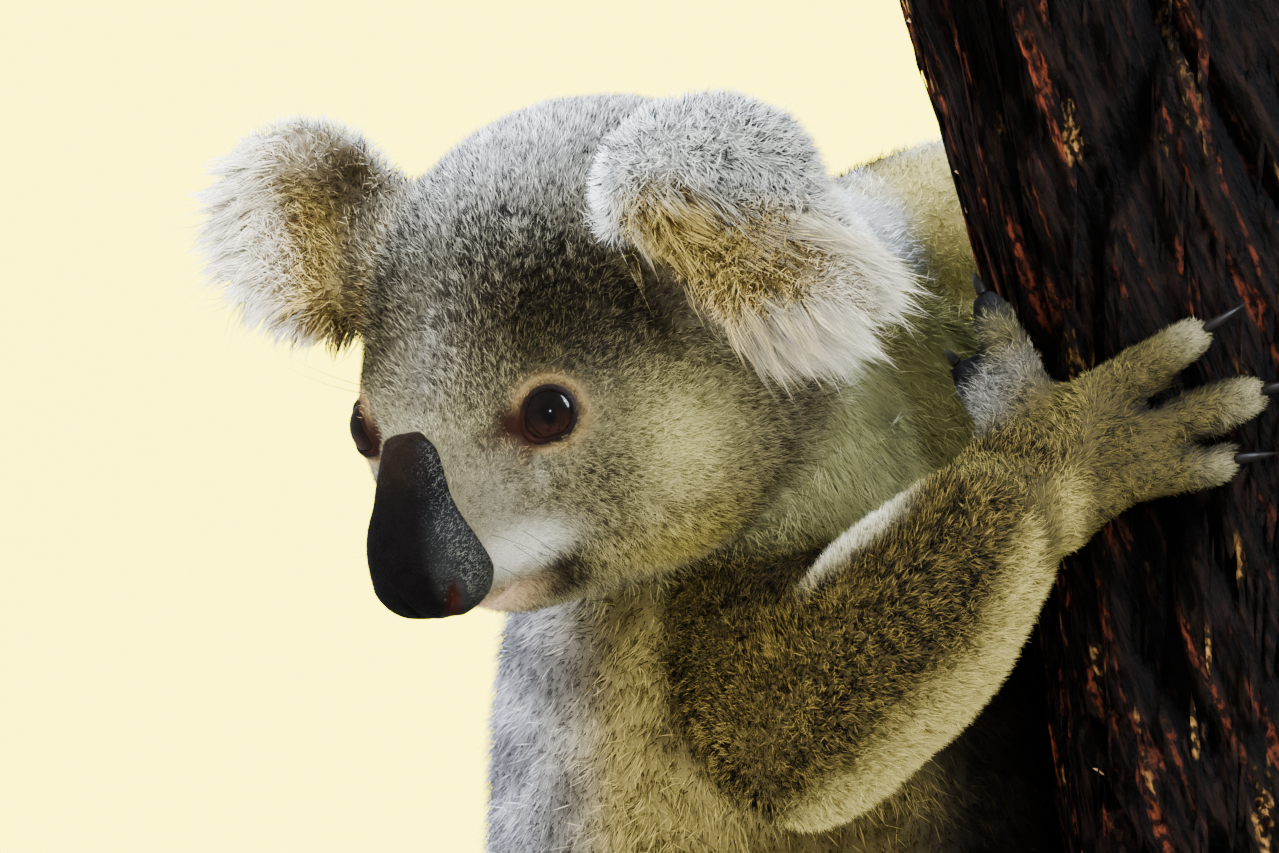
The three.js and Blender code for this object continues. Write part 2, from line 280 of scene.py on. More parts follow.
@dataclass(frozen=True)
class EarPlan:
    """How an ear is turned. Lengths are in millimetres.

    Attributes:
        node: Its solid.
        opening: The way its open side faces.
        tip: The way from its root to its tip.
        shift: From the middle of its solid to the middle of its disc.
        hair_line: How far out of its opening the long hair starts, at its root and at its tip.
        inner_root: Where its open side is darkest with painted shade, in its own frame.
        inner_radii: How far that painted shade reaches.
        pale_before: How far back its pale front edge reaches, across the ear.
        pale_edge: How far from its middle its pale rim starts.
    """

    node: str
    opening: Triple
    tip: Triple
    shift: Triple
    hair_line: tuple[float, float]
    inner_root: Triple
    inner_radii: Triple
    pale_before: float
    pale_edge: float

    def frame(self) -> LocalFrame:
        """The ear's frame: x out of its opening, z to its tip, from the middle of its disc.

        Returns:
            The frame.
        """
        x = unit(np.array(self.opening))
        z = flattened(np.array(self.tip), x)
        axes = np.stack([x, np.cross(z, x), z])
        return LocalFrame(centre_of(self.node) + np.array(self.shift) * MM, axes)

    def past_line(self, local: Array) -> Array:
        """How far points of the ear's frame are past the line where the long hair starts."""
        start, end = self.hair_line
        return local[:, 0] - start - (end - start) * smoothstep(8, 40, local[:, 2])

    def openness(self, local: Array, raised: float = 0.0) -> Array:
        """How far points of the ear's frame are on the side of the long hair, from 0 to 1."""
        return smoothstep(-2, 2, self.past_line(local) - raised)


EARS = [
    EarPlan(
        "ear_left", (0, -0.5, -0.866), (0.93, 0.1, -0.35), (-1.4, 0.2, 17.3),
        hair_line=(13.5, 21.5), inner_root=(31, -4, 0), inner_radii=(9, 12, 16), pale_before=-99, pale_edge=19,
    ),
    EarPlan(
        "ear_right", (-0.46, -0.85, -0.25), (-0.35, -0.05, 0.93), (1.4, 2, 2.6),
        hair_line=(1, 1), inner_root=(12, 25, 9), inner_radii=(30, 20, 21), pale_before=2, pale_edge=14,
    ),
]


# ---------------------------------------------------------------- meshes
def read_rows(items: Any, field: str, width: int, kind: type = float) -> Array:
    """Reads a field of all of a mesh's points, edges or faces.

    Args:
        items: The points, edges or faces.
        field: The field's name.
        width: How many numbers each has.
        kind: What numbers they are.

    Returns:
        One row for each.
    """
    values = np.zeros(len(items) * width, kind)
    items.foreach_get(field, values)
    return values.reshape(-1, width)


class Surface:
    """A mesh's points and links as arrays, with what is worked out over them."""

    def __init__(self, mesh: bpy.types.Mesh) -> None:
        """Reads a mesh.

        Args:
            mesh: The mesh, which stays as it is until store.
        """
        self.mesh = mesh
        self.points = read_rows(mesh.vertices, "co", 3)
        self.edges = read_rows(mesh.edges, "vertices", 2, np.int32)
        mesh.calc_loop_triangles()
        self.triangles = read_rows(mesh.loop_triangles, "vertices", 3, np.int32)
        self.degree = np.bincount(self.edges.ravel(), minlength=len(self.points)).clip(1)

    def around(self, values: Array) -> Array:
        """The mean of each point's neighbours.

        Args:
            values: A number or a row of numbers for each point.

        Returns:
            Means in the same shape.
        """
        rows = values.reshape(len(self.points), -1)
        first, second = self.edges[:, 0], self.edges[:, 1]
        means = [
            np.bincount(first, column[second], len(rows)) + np.bincount(second, column[first], len(rows))
            for column in rows.T
        ]
        return (np.stack(means, axis=1) / self.degree[:, None]).reshape(values.shape)

    def softened(self, values: Array, rounds: int, strength: Array | float = 0.5) -> Array:
        """Smooths values over the surface.

        Args:
            values: A number or a row of numbers for each point.
            rounds: How many times to do it.
            strength: How far each round goes, from 0 to 1, alone or for each point.

        Returns:
            The smoothed values.
        """
        share = np.broadcast_to(np.asarray(strength, float), (len(self.points),))
        if values.ndim > 1:
            share = share[:, None]
        for _ in range(rounds):
            values = values + (self.around(values) - values) * share
        return values

    def flats(self) -> Array:
        """The way out of each triangle, as long as twice its area."""
        a, b, c = (self.points[self.triangles[:, k]] for k in range(3))
        return np.cross(b - a, c - a)

    def normals(self) -> Array:
        """The way out at each point.

        Returns:
            Directions with length one, in rows.
        """
        count, corners = len(self.points), self.triangles.T
        sums = [sum(np.bincount(corner, part, count) for corner in corners) for part in self.flats().T]
        return unit(np.stack(sums, axis=1))

    def areas(self) -> Array:
        """Each triangle's area."""
        return np.linalg.norm(self.flats(), axis=1) / 2

    def store(self) -> None:
        """Writes the points back to the mesh."""
        self.mesh.vertices.foreach_set("co", self.points.astype(np.float32).ravel())
        self.mesh.update()


class Spots:
    """Places picked by chance on a surface."""

    def __init__(self, surface: Surface, weights: Array, count: int, hue: np.random.Generator) -> None:
        """Picks the places.

        Args:
            surface: The surface.
            weights: How thickly they lie on each triangle.
            count: How many are wanted.
            hue: Where the chance comes from.
        """
        heap = np.cumsum(surface.areas() * weights)
        chosen = np.searchsorted(heap, np.sort(hue.random(count)) * heap[-1]).clip(0, len(heap) - 1)
        first, second = np.sqrt(hue.random(count)), hue.random(count)
        self.corners = surface.triangles[chosen]
        self.shares = np.stack([1 - first, first * (1 - second), first * second], axis=1)

    def read(self, values: Array) -> Array:
        """Reads values of the surface's points at these places."""
        return np.einsum("nk,nk...->n...", self.shares, values[self.corners])


def linked(name: str, mesh: bpy.types.Mesh) -> bpy.types.Object:
    """Puts a mesh in the scene as an object of that name.

    Args:
        name: The name.
        mesh: The mesh.

    Returns:
        The object.
    """
    mesh.name = name
    made = bpy.data.objects.new(name, mesh)
    bpy.context.scene.collection.objects.link(made)
    return made


def mesh_from(name: str, points: Array, faces: Array, smooth: bool = True) -> bpy.types.Mesh:
    """Builds a mesh whose faces all have the same number of corners.

    Args:
        name: The mesh's name.
        points: One point in each row.
        faces: The corners of one face in each row.
        smooth: Whether it is shaded smooth.

    Returns:
        The mesh.
    """
    corners = faces.shape[1]
    mesh = bpy.data.meshes.new(name)
    mesh.vertices.add(len(points))
    mesh.vertices.foreach_set("co", points.astype(np.float32).ravel())
    mesh.loops.add(faces.size)
    mesh.loops.foreach_set("vertex_index", faces.astype(np.int32).ravel())
    mesh.polygons.add(len(faces))
    mesh.polygons.foreach_set("loop_start", np.arange(0, faces.size, corners, dtype=np.int32))
    mesh.update(calc_edges=True)
    mesh.polygons.foreach_set("use_smooth", np.full(len(faces), smooth))
    return mesh


def paint(mesh: bpy.types.Mesh, colours: Array, name: str = TINT) -> None:
    """Gives each point of a mesh a colour.

    Args:
        mesh: The mesh.
        colours: Linear red, green and blue in rows.
        name: The attribute's name.
    """
    attribute = mesh.color_attributes.new(name, "FLOAT_COLOR", "POINT")
    full = np.ones((len(colours), 4), np.float32)
    full[:, :3] = np.clip(colours, 0, 1)
    attribute.data.foreach_set("color", full.ravel())


def mark(mesh: bpy.types.Mesh, values: Array, name: str = GLOSS_AND_FURROW_SHADE) -> None:
    """Gives each point of a mesh a number or a vector.

    Args:
        mesh: The mesh.
        values: Numbers, or vectors in rows.
        name: The attribute's name.
    """
    kind, field = ("FLOAT", "value") if values.ndim == 1 else ("FLOAT_VECTOR", "vector")
    attribute = mesh.attributes.new(name, kind, "POINT")
    attribute.data.foreach_set(field, values.astype(np.float32).ravel())


def shade_smooth(mesh: bpy.types.Mesh) -> None:
    """Has every face of a mesh shaded smooth."""
    mesh.polygons.foreach_set("use_smooth", np.full(len(mesh.polygons), True))


@contextmanager
def edited(mesh: bpy.types.Mesh) -> Iterator[bmesh.types.BMesh]:
    """Opens a mesh for changes, then writes them back.

    Args:
        mesh: The mesh.

    Returns:
        A context whose value is its points, edges and faces.
    """
    work = bmesh.new()
    work.from_mesh(mesh)
    yield work
    work.to_mesh(mesh)
    work.free()


def outcome(source: bpy.types.Object, *used: bpy.types.Object) -> bpy.types.Mesh:
    """Applies an object's modifiers, and removes it with what they used.

    Args:
        source: The object.
        used: Other objects that were only there for it.

    Returns:
        The mesh it has come to.
    """
    graph = bpy.context.evaluated_depsgraph_get()
    mesh = bpy.data.meshes.new_from_object(source.evaluated_get(graph))
    for spent in (source, *used):
        bpy.data.objects.remove(spent)
    return mesh


def shown(
    name: str, mesh: bpy.types.Mesh, slot: Slot, nodes: Sequence[str], *materials: bpy.types.Material
) -> bpy.types.Object:
    """Puts a mesh in the scene as a visible piece of the row's one body.

    Args:
        name: The piece's name.
        mesh: Its mesh.
        slot: Its material slot, which is not used.
        nodes: The nodes it stands in for, if any.
        materials: Its materials.

    Returns:
        Its object.
    """
    mesh.materials.clear()
    for material in materials:
        mesh.materials.append(material)
    made = linked(name, mesh)
    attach(made, BODY)
    if nodes:
        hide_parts(*nodes)
    log.info("%s: %d faces", name, len(mesh.polygons))
    return made


def claws_of(paw: str) -> list[str]:
    """The nodes of a paw's claws, by its side and kind."""
    return [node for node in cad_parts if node.startswith(f"claw_{paw}_")]


def solid_copy(nodes: Sequence[str], growth: float = 0.0) -> tuple[Array, Array, Array]:
    """Copies nodes as whole solids, since a node comes as loose triangles.

    Args:
        nodes: The nodes' names.
        growth: How far each solid's points move outwards.

    Returns:
        Points, triangles, and for each triangle the number of its node in nodes.
    """
    points, triangles, owners, start = [], [], [], 0
    for number, node in enumerate(nodes):
        loose = Surface(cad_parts[node].data)
        _, first, whole = np.unique(np.round(loose.points, 6), axis=0, return_index=True, return_inverse=True)
        corners = whole.reshape(-1)[loose.triangles]
        keep = (corners[:, 0] != corners[:, 1]) & (corners[:, 1] != corners[:, 2]) & (corners[:, 0] != corners[:, 2])
        corners, places = corners[keep], loose.points[first]
        a, b, c = (places[corners[:, k]] for k in range(3))
        flat = np.cross(b - a, c - a)
        out = np.zeros_like(places)
        for k in range(3):
            np.add.at(out, corners[:, k], flat)
        points.append(places + unit(out) * growth)
        triangles.append(corners + start)
        owners.append(np.full(len(corners), number))
        start += len(places)
    return np.concatenate(points), np.concatenate(triangles), np.concatenate(owners)


def remeshed(name: str, points: Array, triangles: Array, pitch: float) -> bpy.types.Mesh:
    """Melts solids that overlap into one surface of small even squares.

    Args:
        name: The mesh's name.
        points: The solids' points.
        triangles: Their triangles.
        pitch: The side of a square.

    Returns:
        The new mesh.
    """
    source = linked(name + "_source", mesh_from(name + "_source", points, triangles, False))
    modifier = source.modifiers.new("melt", "REMESH")
    modifier.mode = "VOXEL"
    modifier.voxel_size = pitch
    result = outcome(source)
    result.name = name
    shade_smooth(result)
    return result


def without(name: str, mesh: bpy.types.Mesh, cutter: bpy.types.Mesh) -> bpy.types.Mesh:
    """Cuts one solid out of another.

    Args:
        name: The new mesh's name.
        mesh: The solid that is cut.
        cutter: The solid that is taken away.

    Returns:
        The new mesh.
    """
    target, tool = linked(name + "_source", mesh), linked(name + "_cutter", cutter)
    modifier = target.modifiers.new("cut", "BOOLEAN")
    modifier.operation, modifier.solver, modifier.object = "DIFFERENCE", "EXACT", tool
    result = outcome(target, tool)
    result.name = name
    shade_smooth(result)
    return result


def largest_part(mesh: bpy.types.Mesh) -> None:
    """Leaves a mesh only its largest connected part.

    Args:
        mesh: The mesh.
    """
    with edited(mesh) as work:
        left = set(work.verts)
        parts = []
        while left:
            seed = left.pop()
            part, front = {seed}, [seed]
            while front:
                for edge in front.pop().link_edges:
                    for vertex in edge.verts:
                        if vertex not in part:
                            part.add(vertex)
                            front.append(vertex)
            left -= part
            parts.append(part)
        biggest = max(parts, key=len)
        small = [vertex for part in parts if part is not biggest for vertex in part]
        bmesh.ops.delete(work, geom=small, context="VERTS")
    log.info("%s: kept the largest of %d parts", mesh.name, len(parts))


def subdivided(mesh: bpy.types.Mesh, wanted: Callable[[Array], Array]) -> None:
    """Cuts the faces of a mesh finer where they are wanted finer.

    Args:
        mesh: The mesh.
        wanted: Says for rows of points which lie where the mesh gets finer.
    """
    with edited(mesh) as work:
        inside = wanted(np.array([vertex.co for vertex in work.verts]))
        edges = [edge for edge in work.edges if all(inside[vertex.index] for vertex in edge.verts)]
        bmesh.ops.subdivide_edges(work, edges=edges, cuts=1, use_grid_fill=True)
    shade_smooth(mesh)


# ---------------------------------------------------------------- materials
class Graph:
    """A material's nodes, built line by line."""

    def __init__(self, name: str) -> None:
        """Starts a material with one surface shader.

        Args:
            name: The material's name.
        """
        self.material = bpy.data.materials.new(name)
        self.material.use_nodes = True
        self.nodes = self.material.node_tree.nodes
        self.nodes.clear()
        self.shader = self.nodes.new("ShaderNodeBsdfPrincipled")
        output = self.nodes.new("ShaderNodeOutputMaterial")
        self.join(self.shader.outputs["BSDF"], output.inputs["Surface"])

    def node(self, kind: str, **values: Any) -> bpy.types.Node:
        """Adds a node.

        Args:
            kind: The node's type.
            values: The values of its inputs, with _ for a space.

        Returns:
            The node.
        """
        made = self.nodes.new(kind)
        for name, value in values.items():
            made.inputs[name.replace("_", " ")].default_value = value
        return made

    def join(self, source: bpy.types.NodeSocket, target: bpy.types.NodeSocket) -> None:
        """Links two sockets."""
        self.material.node_tree.links.new(source, target)

    def settle(self, **values: Any) -> None:
        """Sets sockets of the shader by name, with _ for a space."""
        for name, value in values.items():
            self.shader.inputs[name.replace("_", " ")].default_value = value

    def colour_of(self, name: str) -> bpy.types.NodeSocket:
        """The colour attribute of that name.

        Args:
            name: The attribute's name.

        Returns:
            Its colour.
        """
        node = self.nodes.new("ShaderNodeVertexColor")
        node.layer_name = name
        return node.outputs["Color"]

    def number_of(self, name: str) -> bpy.types.NodeSocket:
        """The number attribute of that name.

        Args:
            name: The attribute's name.

        Returns:
            Its number.
        """
        node = self.nodes.new("ShaderNodeAttribute")
        node.attribute_name = name
        return node.outputs["Fac"]

    def place(self, stretch: Sequence[float] = (1, 1, 1), lean: float = 0.0) -> bpy.types.NodeSocket:
        """Places on the object, leant about the y axis and then stretched along each axis.

        Args:
            stretch: How much longer things get along each axis.
            lean: The angle in radians.

        Returns:
            The places.
        """
        scale = tuple(1 / share for share in stretch)
        mapping = self.node("ShaderNodeMapping", Rotation=(0, lean, 0), Scale=scale)
        mapping.vector_type = "TEXTURE"
        self.join(self.nodes.new("ShaderNodeTexCoord").outputs["Object"], mapping.inputs["Vector"])
        return mapping.outputs["Vector"]

    def grain(
        self, scale: float, detail: float = 3.0, place: bpy.types.NodeSocket | None = None, twist: float = 0.0
    ) -> bpy.types.NodeSocket:
        """Cloudy noise.

        Args:
            scale: How many clouds in a metre.
            detail: How many finer layers.
            place: Where to read it, or nothing for places on the object.
            twist: How far it is pulled about.

        Returns:
            The noise as a number.
        """
        node = self.node("ShaderNodeTexNoise", Scale=scale, Detail=detail, Distortion=twist)
        self.join(place or self.place(), node.inputs["Vector"])
        return node.outputs["Fac"]

    def ramp(
        self, source: bpy.types.NodeSocket, stops: Sequence[tuple[float, Sequence[float]]]
    ) -> bpy.types.NodeSocket:
        """Turns a number into a colour.

        Args:
            source: The number.
            stops: Places from 0 to 1, each with its linear colour.

        Returns:
            The colour.
        """
        node = self.nodes.new("ShaderNodeValToRGB")
        elements = node.color_ramp.elements
        while len(elements) < len(stops):
            elements.new(0.5)
        for element, (place, colour) in zip(elements, stops):
            element.position = place
            element.color = (*colour, 1)
        self.join(source, node.inputs["Fac"])
        return node.outputs["Color"]

    def span(self, source: bpy.types.NodeSocket, low: float, high: float) -> bpy.types.NodeSocket:
        """Spreads a number of 0 to 1 between low and high.

        Args:
            source: The number.
            low: What 0 becomes.
            high: What 1 becomes.

        Returns:
            The new number.
        """
        node = self.node("ShaderNodeMapRange", To_Min=low, To_Max=high)
        self.join(source, node.inputs["Value"])
        return node.outputs["Result"]

    def blended(
        self, kind: str, first: bpy.types.NodeSocket, second: bpy.types.NodeSocket, share: Any = 1.0
    ) -> bpy.types.NodeSocket:
        """Mixes two colours.

        Args:
            kind: The way of mixing, such as MIX or MULTIPLY.
            first: The colour below.
            second: The colour above.
            share: How much of the second shows, as a number or a socket.

        Returns:
            The mixed colour.
        """
        node = self.nodes.new("ShaderNodeMix")
        node.data_type = "RGBA"
        node.blend_type = kind
        if isinstance(share, bpy.types.NodeSocket):
            self.join(share, node.inputs[0])
        else:
            node.inputs[0].default_value = share
        self.join(first, node.inputs[6])
        self.join(second, node.inputs[7])
        return node.outputs[2]

    def tinted(
        self, source: bpy.types.NodeSocket, dark: tuple[float, float], pale: tuple[float, float]
    ) -> bpy.types.NodeSocket:
        """The tint of the object's points, darker and paler by turns."""
        shade = self.ramp(source, [(place, (value,) * 3) for place, value in (dark, pale)])
        return self.blended("MULTIPLY", self.colour_of(TINT), shade)

    def cover(self, colour: bpy.types.NodeSocket, sheen: bpy.types.NodeSocket, smooth: float, matt: float) -> None:
        """Gives the shader its colour and roughness."""
        self.join(colour, self.shader.inputs["Base Color"])
        self.join(self.span(sheen, smooth, matt), self.shader.inputs["Roughness"])

    def bump(self, height: bpy.types.NodeSocket, strength: float, distance: float) -> None:
        """Gives the shader bumps on top of those it has.

        Args:
            height: The height as a number.
            strength: From 0 to 1.
            distance: How high a height of 1 is, in metres.
        """
        node = self.node("ShaderNodeBump", Strength=strength, Distance=distance)
        self.join(height, node.inputs["Height"])
        normal = self.shader.inputs["Normal"]
        if normal.is_linked:
            self.join(normal.links[0].from_socket, node.inputs["Normal"])
        self.join(node.outputs["Normal"], normal)


@dataclass(frozen=True)
class FurFinish:
    """Hair: matt, with the tint of its own points.

    Attributes:
        name: The material's name.
        roughness: How matt it is.
        spread: How much that varies.
        shine: Its specular level.
    """

    name: str
    roughness: float = 0.8
    spread: float = 0.08
    shine: float = 0.16

    def material(self) -> bpy.types.Material:
        """Builds the material.

        Returns:
            The material.
        """
        graph = Graph(self.name)
        shade = graph.span(graph.grain(900, 2), 0.82, 1.12)
        tint = graph.blended("MULTIPLY", graph.colour_of(TINT), shade)
        graph.cover(tint, graph.grain(500), self.roughness - self.spread, self.roughness + self.spread)
        graph.settle(Specular_IOR_Level=self.shine)
        return graph.material


@dataclass(frozen=True)
class SkinFinish:
    """Skin under the coat, with the nap of its shortest hair, and bare and moist at the lids and lips."""

    name: str = "skin_under_coat"

    def material(self) -> bpy.types.Material:
        """Builds the material.

        Returns:
            The material.
        """
        graph = Graph(self.name)
        nap = graph.grain(1400, 4, twist=1.2)
        graph.cover(graph.tinted(nap, (0.3, 0.62), (0.7, 1.12)), graph.number_of(GLOSS_AND_FURROW_SHADE), 0.85, 0.36)
        graph.settle(Specular_IOR_Level=0.25)
        graph.bump(nap, 0.6, 0.0008)
        return graph.material


@dataclass(frozen=True)
class LeatherFinish:
    """The nose's leather, finely pebbled, tinted by its own points."""

    name: str = "nose_leather"

    def material(self) -> bpy.types.Material:
        """Builds the material.

        Returns:
            The material.
        """
        graph = Graph(self.name)
        pebbles = graph.node("ShaderNodeTexVoronoi", Scale=1250)
        graph.join(graph.place(), pebbles.inputs["Vector"])
        graph.cover(graph.tinted(graph.grain(220), (0.3, 0.75), (0.75, 1.3)), graph.grain(400), 0.42, 0.58)
        graph.settle(Specular_IOR_Level=0.06)
        graph.bump(pebbles.outputs["Distance"], 0.5, 0.0006)
        graph.bump(graph.grain(150), 0.3, 0.0008)
        return graph.material


@dataclass(frozen=True)
class EyeFinish:
    """A wet, dark eye, tinted by its own points."""

    name: str = "eye_gloss"

    def material(self) -> bpy.types.Material:
        """Builds the material.

        Returns:
            The material.
        """
        graph = Graph(self.name)
        graph.cover(graph.tinted(graph.grain(900, 4), (0.35, 0.7), (0.7, 1.25)), graph.grain(200), 0.3, 0.4)
        graph.settle(Specular_IOR_Level=0.03, Coat_Weight=1.0, Coat_Roughness=0.012, Coat_IOR=1.34)
        return graph.material


@dataclass(frozen=True)
class HornFinish:
    """Dark claw horn with a faint grain along it."""

    name: str = "claw_horn"
    colour: Colour = (12, 10, 9)

    def material(self) -> bpy.types.Material:
        """Builds the material.

        Returns:
            The material.
        """
        graph = Graph(self.name)
        base = linear(self.colour)
        tone = graph.ramp(graph.grain(260), [(0.3, base * 0.6), (0.75, base * 2.6)])
        graph.cover(tone, graph.grain(600), 0.34, 0.5)
        graph.settle(Specular_IOR_Level=0.22)
        graph.bump(graph.grain(900, 2), 0.25, 0.0003)
        return graph.material


@dataclass(frozen=True)
class BarkFinish:
    """Old stringy bark: dark furrows, rust and ochre strands.

    Attributes:
        name: The material's name.
        furrow: Colour deep in a furrow.
        plate: Colour of the weathered face.
        strand: Colour of fresh strands.
        lichen: Colour of the palest flecks.
        strands: How much the strands show.
        lean: How far the grain leans about the y axis, in radians.
    """

    name: str
    furrow: Colour = (4, 3, 3)
    plate: Colour = (26, 16, 13)
    strand: Colour = (96, 42, 25)
    lichen: Colour = (146, 108, 58)
    strands: float = 0.0
    lean: float = -0.4

    def material(self) -> bpy.types.Material:
        """Builds the material.

        Returns:
            The material.
        """
        graph, lean = Graph(self.name), self.lean
        fibre = graph.grain(420, 6, graph.place((1, 1, 0.12), lean))
        crumb = graph.grain(520, 5, graph.place((1, 1, 0.5), lean))
        plates = graph.ramp(fibre, [(0.45, linear(self.furrow)), (0.7, linear(self.plate))])
        rust = graph.ramp(crumb, [(0.44, linear(self.strand) * 0.06), (0.6, linear(self.strand))])
        patches = graph.grain(130, 7, graph.place((1, 1, 0.06), lean))
        edge = 0.57 - 0.04 * self.strands
        where = graph.ramp(patches, [(edge, (0, 0, 0)), (edge + 0.1, (1, 1, 1))])
        colour = graph.blended("MIX", plates, rust, where)
        flecks = graph.grain(90, 8, graph.place((1, 1, 0.22), lean * 0.4))
        pale = graph.ramp(flecks, [(0.61, (0, 0, 0)), (0.68, (1, 1, 1))])
        moss = graph.ramp(crumb, [(0.48, linear(self.lichen) * 0.03), (0.64, linear(self.lichen))])
        colour = graph.blended("MIX", colour, moss, pale)
        # Painted shade: the per-point mark darkens the colour down in the furrows.
        depth = graph.ramp(graph.number_of(GLOSS_AND_FURROW_SHADE), [(0.15, (0.08,) * 3), (0.8, (1.0,) * 3)])
        graph.cover(graph.blended("MULTIPLY", colour, depth), fibre, 0.72, 0.95)
        graph.settle(Specular_IOR_Level=0.12)
        graph.bump(fibre, 1.0, 0.003)
        graph.bump(crumb, 0.8, 0.002)
        return graph.material


@dataclass(frozen=True)
class PaintFinish:
    """Smooth satin paint with a faint unevenness."""

    name: str
    colour: Colour
    roughness: float = 0.42
    metallic: float = 0.0
    spread: float = 0.06

    def material(self) -> bpy.types.Material:
        """Builds the material.

        Returns:
            The material.
        """
        graph = Graph(self.name)
        base = linear(self.colour)
        tone = graph.ramp(graph.grain(40), [(0.2, base * 0.85), (0.8, base * 1.15)])
        graph.cover(tone, graph.grain(90), self.roughness - self.spread, self.roughness + self.spread)
        graph.settle(Metallic=self.metallic)
        graph.bump(graph.grain(1500, 2), 0.08, 0.0002)
        return graph.material


# ---------------------------------------------------------------- the coat's plan
@dataclass(frozen=True)
class CoatSizes:
    """How long and thick the coat is over one region, in millimetres.

    Attributes:
        depth: From the skin out to the solid's surface.
        lift: How far the tips stand above the skin.
        softening: How much of the solid's edges is smoothed away, from 0 to 1.
        length: A tuft's length.
        width: A tuft's width.
        stray: How far a tuft turns from its neighbours, from 0 to 1.
        clump: How much the tips draw together, from 0 to 1.
        curl: How far a tuft bends sideways, from 0 to 1.
    """

    depth: float
    lift: float
    softening: float
    length: float
    width: float
    stray: float
    clump: float
    curl: float


COATS = {
    Region.HEAD: CoatSizes(2.9, 2.9, 0.35, 3.9, 0.42, 1.1, 0.2, 0.6),
    Region.EAR: CoatSizes(4.6, 4.6, 0.5, 6.0, 0.4, 2.0, 0.3, 1.5),
    Region.NECK: CoatSizes(4.0, 5.0, 1.0, 10.0, 0.75, 0.8, 0.3, 0.5),
    Region.TORSO: CoatSizes(1.5, 4.2, 1.0, 8.0, 0.55, 1.0, 0.5, 0.6),
    Region.UPPER_ARM: CoatSizes(3.2, 3.4, 0.9, 4.6, 0.52, 1.2, 0.25, 0.6),
    Region.FOREARM: CoatSizes(3.2, 3.4, 0.9, 4.6, 0.5, 1.2, 0.25, 0.6),
    Region.HAND: CoatSizes(1.1, 1.4, 0.1, 3.4, 0.42, 1.0, 0.15, 0.4),
    Region.THIGH: CoatSizes(4.0, 5.5, 1.0, 11.0, 0.85, 0.7, 0.4, 0.4),
    Region.SHANK: CoatSizes(4.0, 4.5, 0.9, 9.0, 0.8, 0.7, 0.35, 0.4),
    Region.FOOT: CoatSizes(1.1, 1.1, 0.1, 3.2, 0.5, 0.3, 0.2, 0.2),
}


def region_of(node: str) -> Region:
    """The region that a node of flesh belongs to.

    Args:
        node: The node's name.

    Returns:
        Its region, and the head's for the eyes and nose.
    """
    for region in Region:
        if node == region.value or node.startswith(region.value + "_"):
            return region
    return Region.HEAD


@dataclass(frozen=True)
class Tones:
    """The grizzle of a patch of coat: tufts are either dark or pale, in a certain share.

    Attributes:
        dark: Display colour of the dark tufts.
        pale: Display colour of the pale tufts.
        share: The share of pale ones.
    """

    dark: Colour
    pale: Colour
    share: float


@dataclass(frozen=True)
class Patch:
    """Tones that hold around a point and fade out from it."""

    at: Triple
    radii: Triple
    tones: Tones


@dataclass
class ToneField:
    """Dark and pale colours, and the share of pale, for each of many points."""

    dark: Array
    pale: Array
    share: Array

    @classmethod
    def plain(cls, count: int, tones: Tones) -> "ToneField":
        """The same tones at every point."""
        dark, pale = (np.tile(linear(colour), (count, 1)) for colour in (tones.dark, tones.pale))
        return cls(dark, pale, np.full(count, tones.share))

    def lay(self, tones: Tones, cover: Array) -> None:
        """Lays tones over those there are.

        Args:
            tones: The new tones.
            cover: How much they cover at each point.
        """
        self.dark = mix(self.dark, linear(tones.dark), cover)
        self.pale = mix(self.pale, linear(tones.pale), cover)
        self.share = self.share + (tones.share - self.share) * cover

    def mean(self) -> Array:
        """The colour that the grizzle has from far off."""
        return mix(self.dark, self.pale, self.share)

    def take(self, chosen: Array, other: "ToneField") -> None:
        """Copies another field's tones at chosen points."""
        self.dark[chosen], self.pale[chosen], self.share[chosen] = other.dark, other.pale, other.share


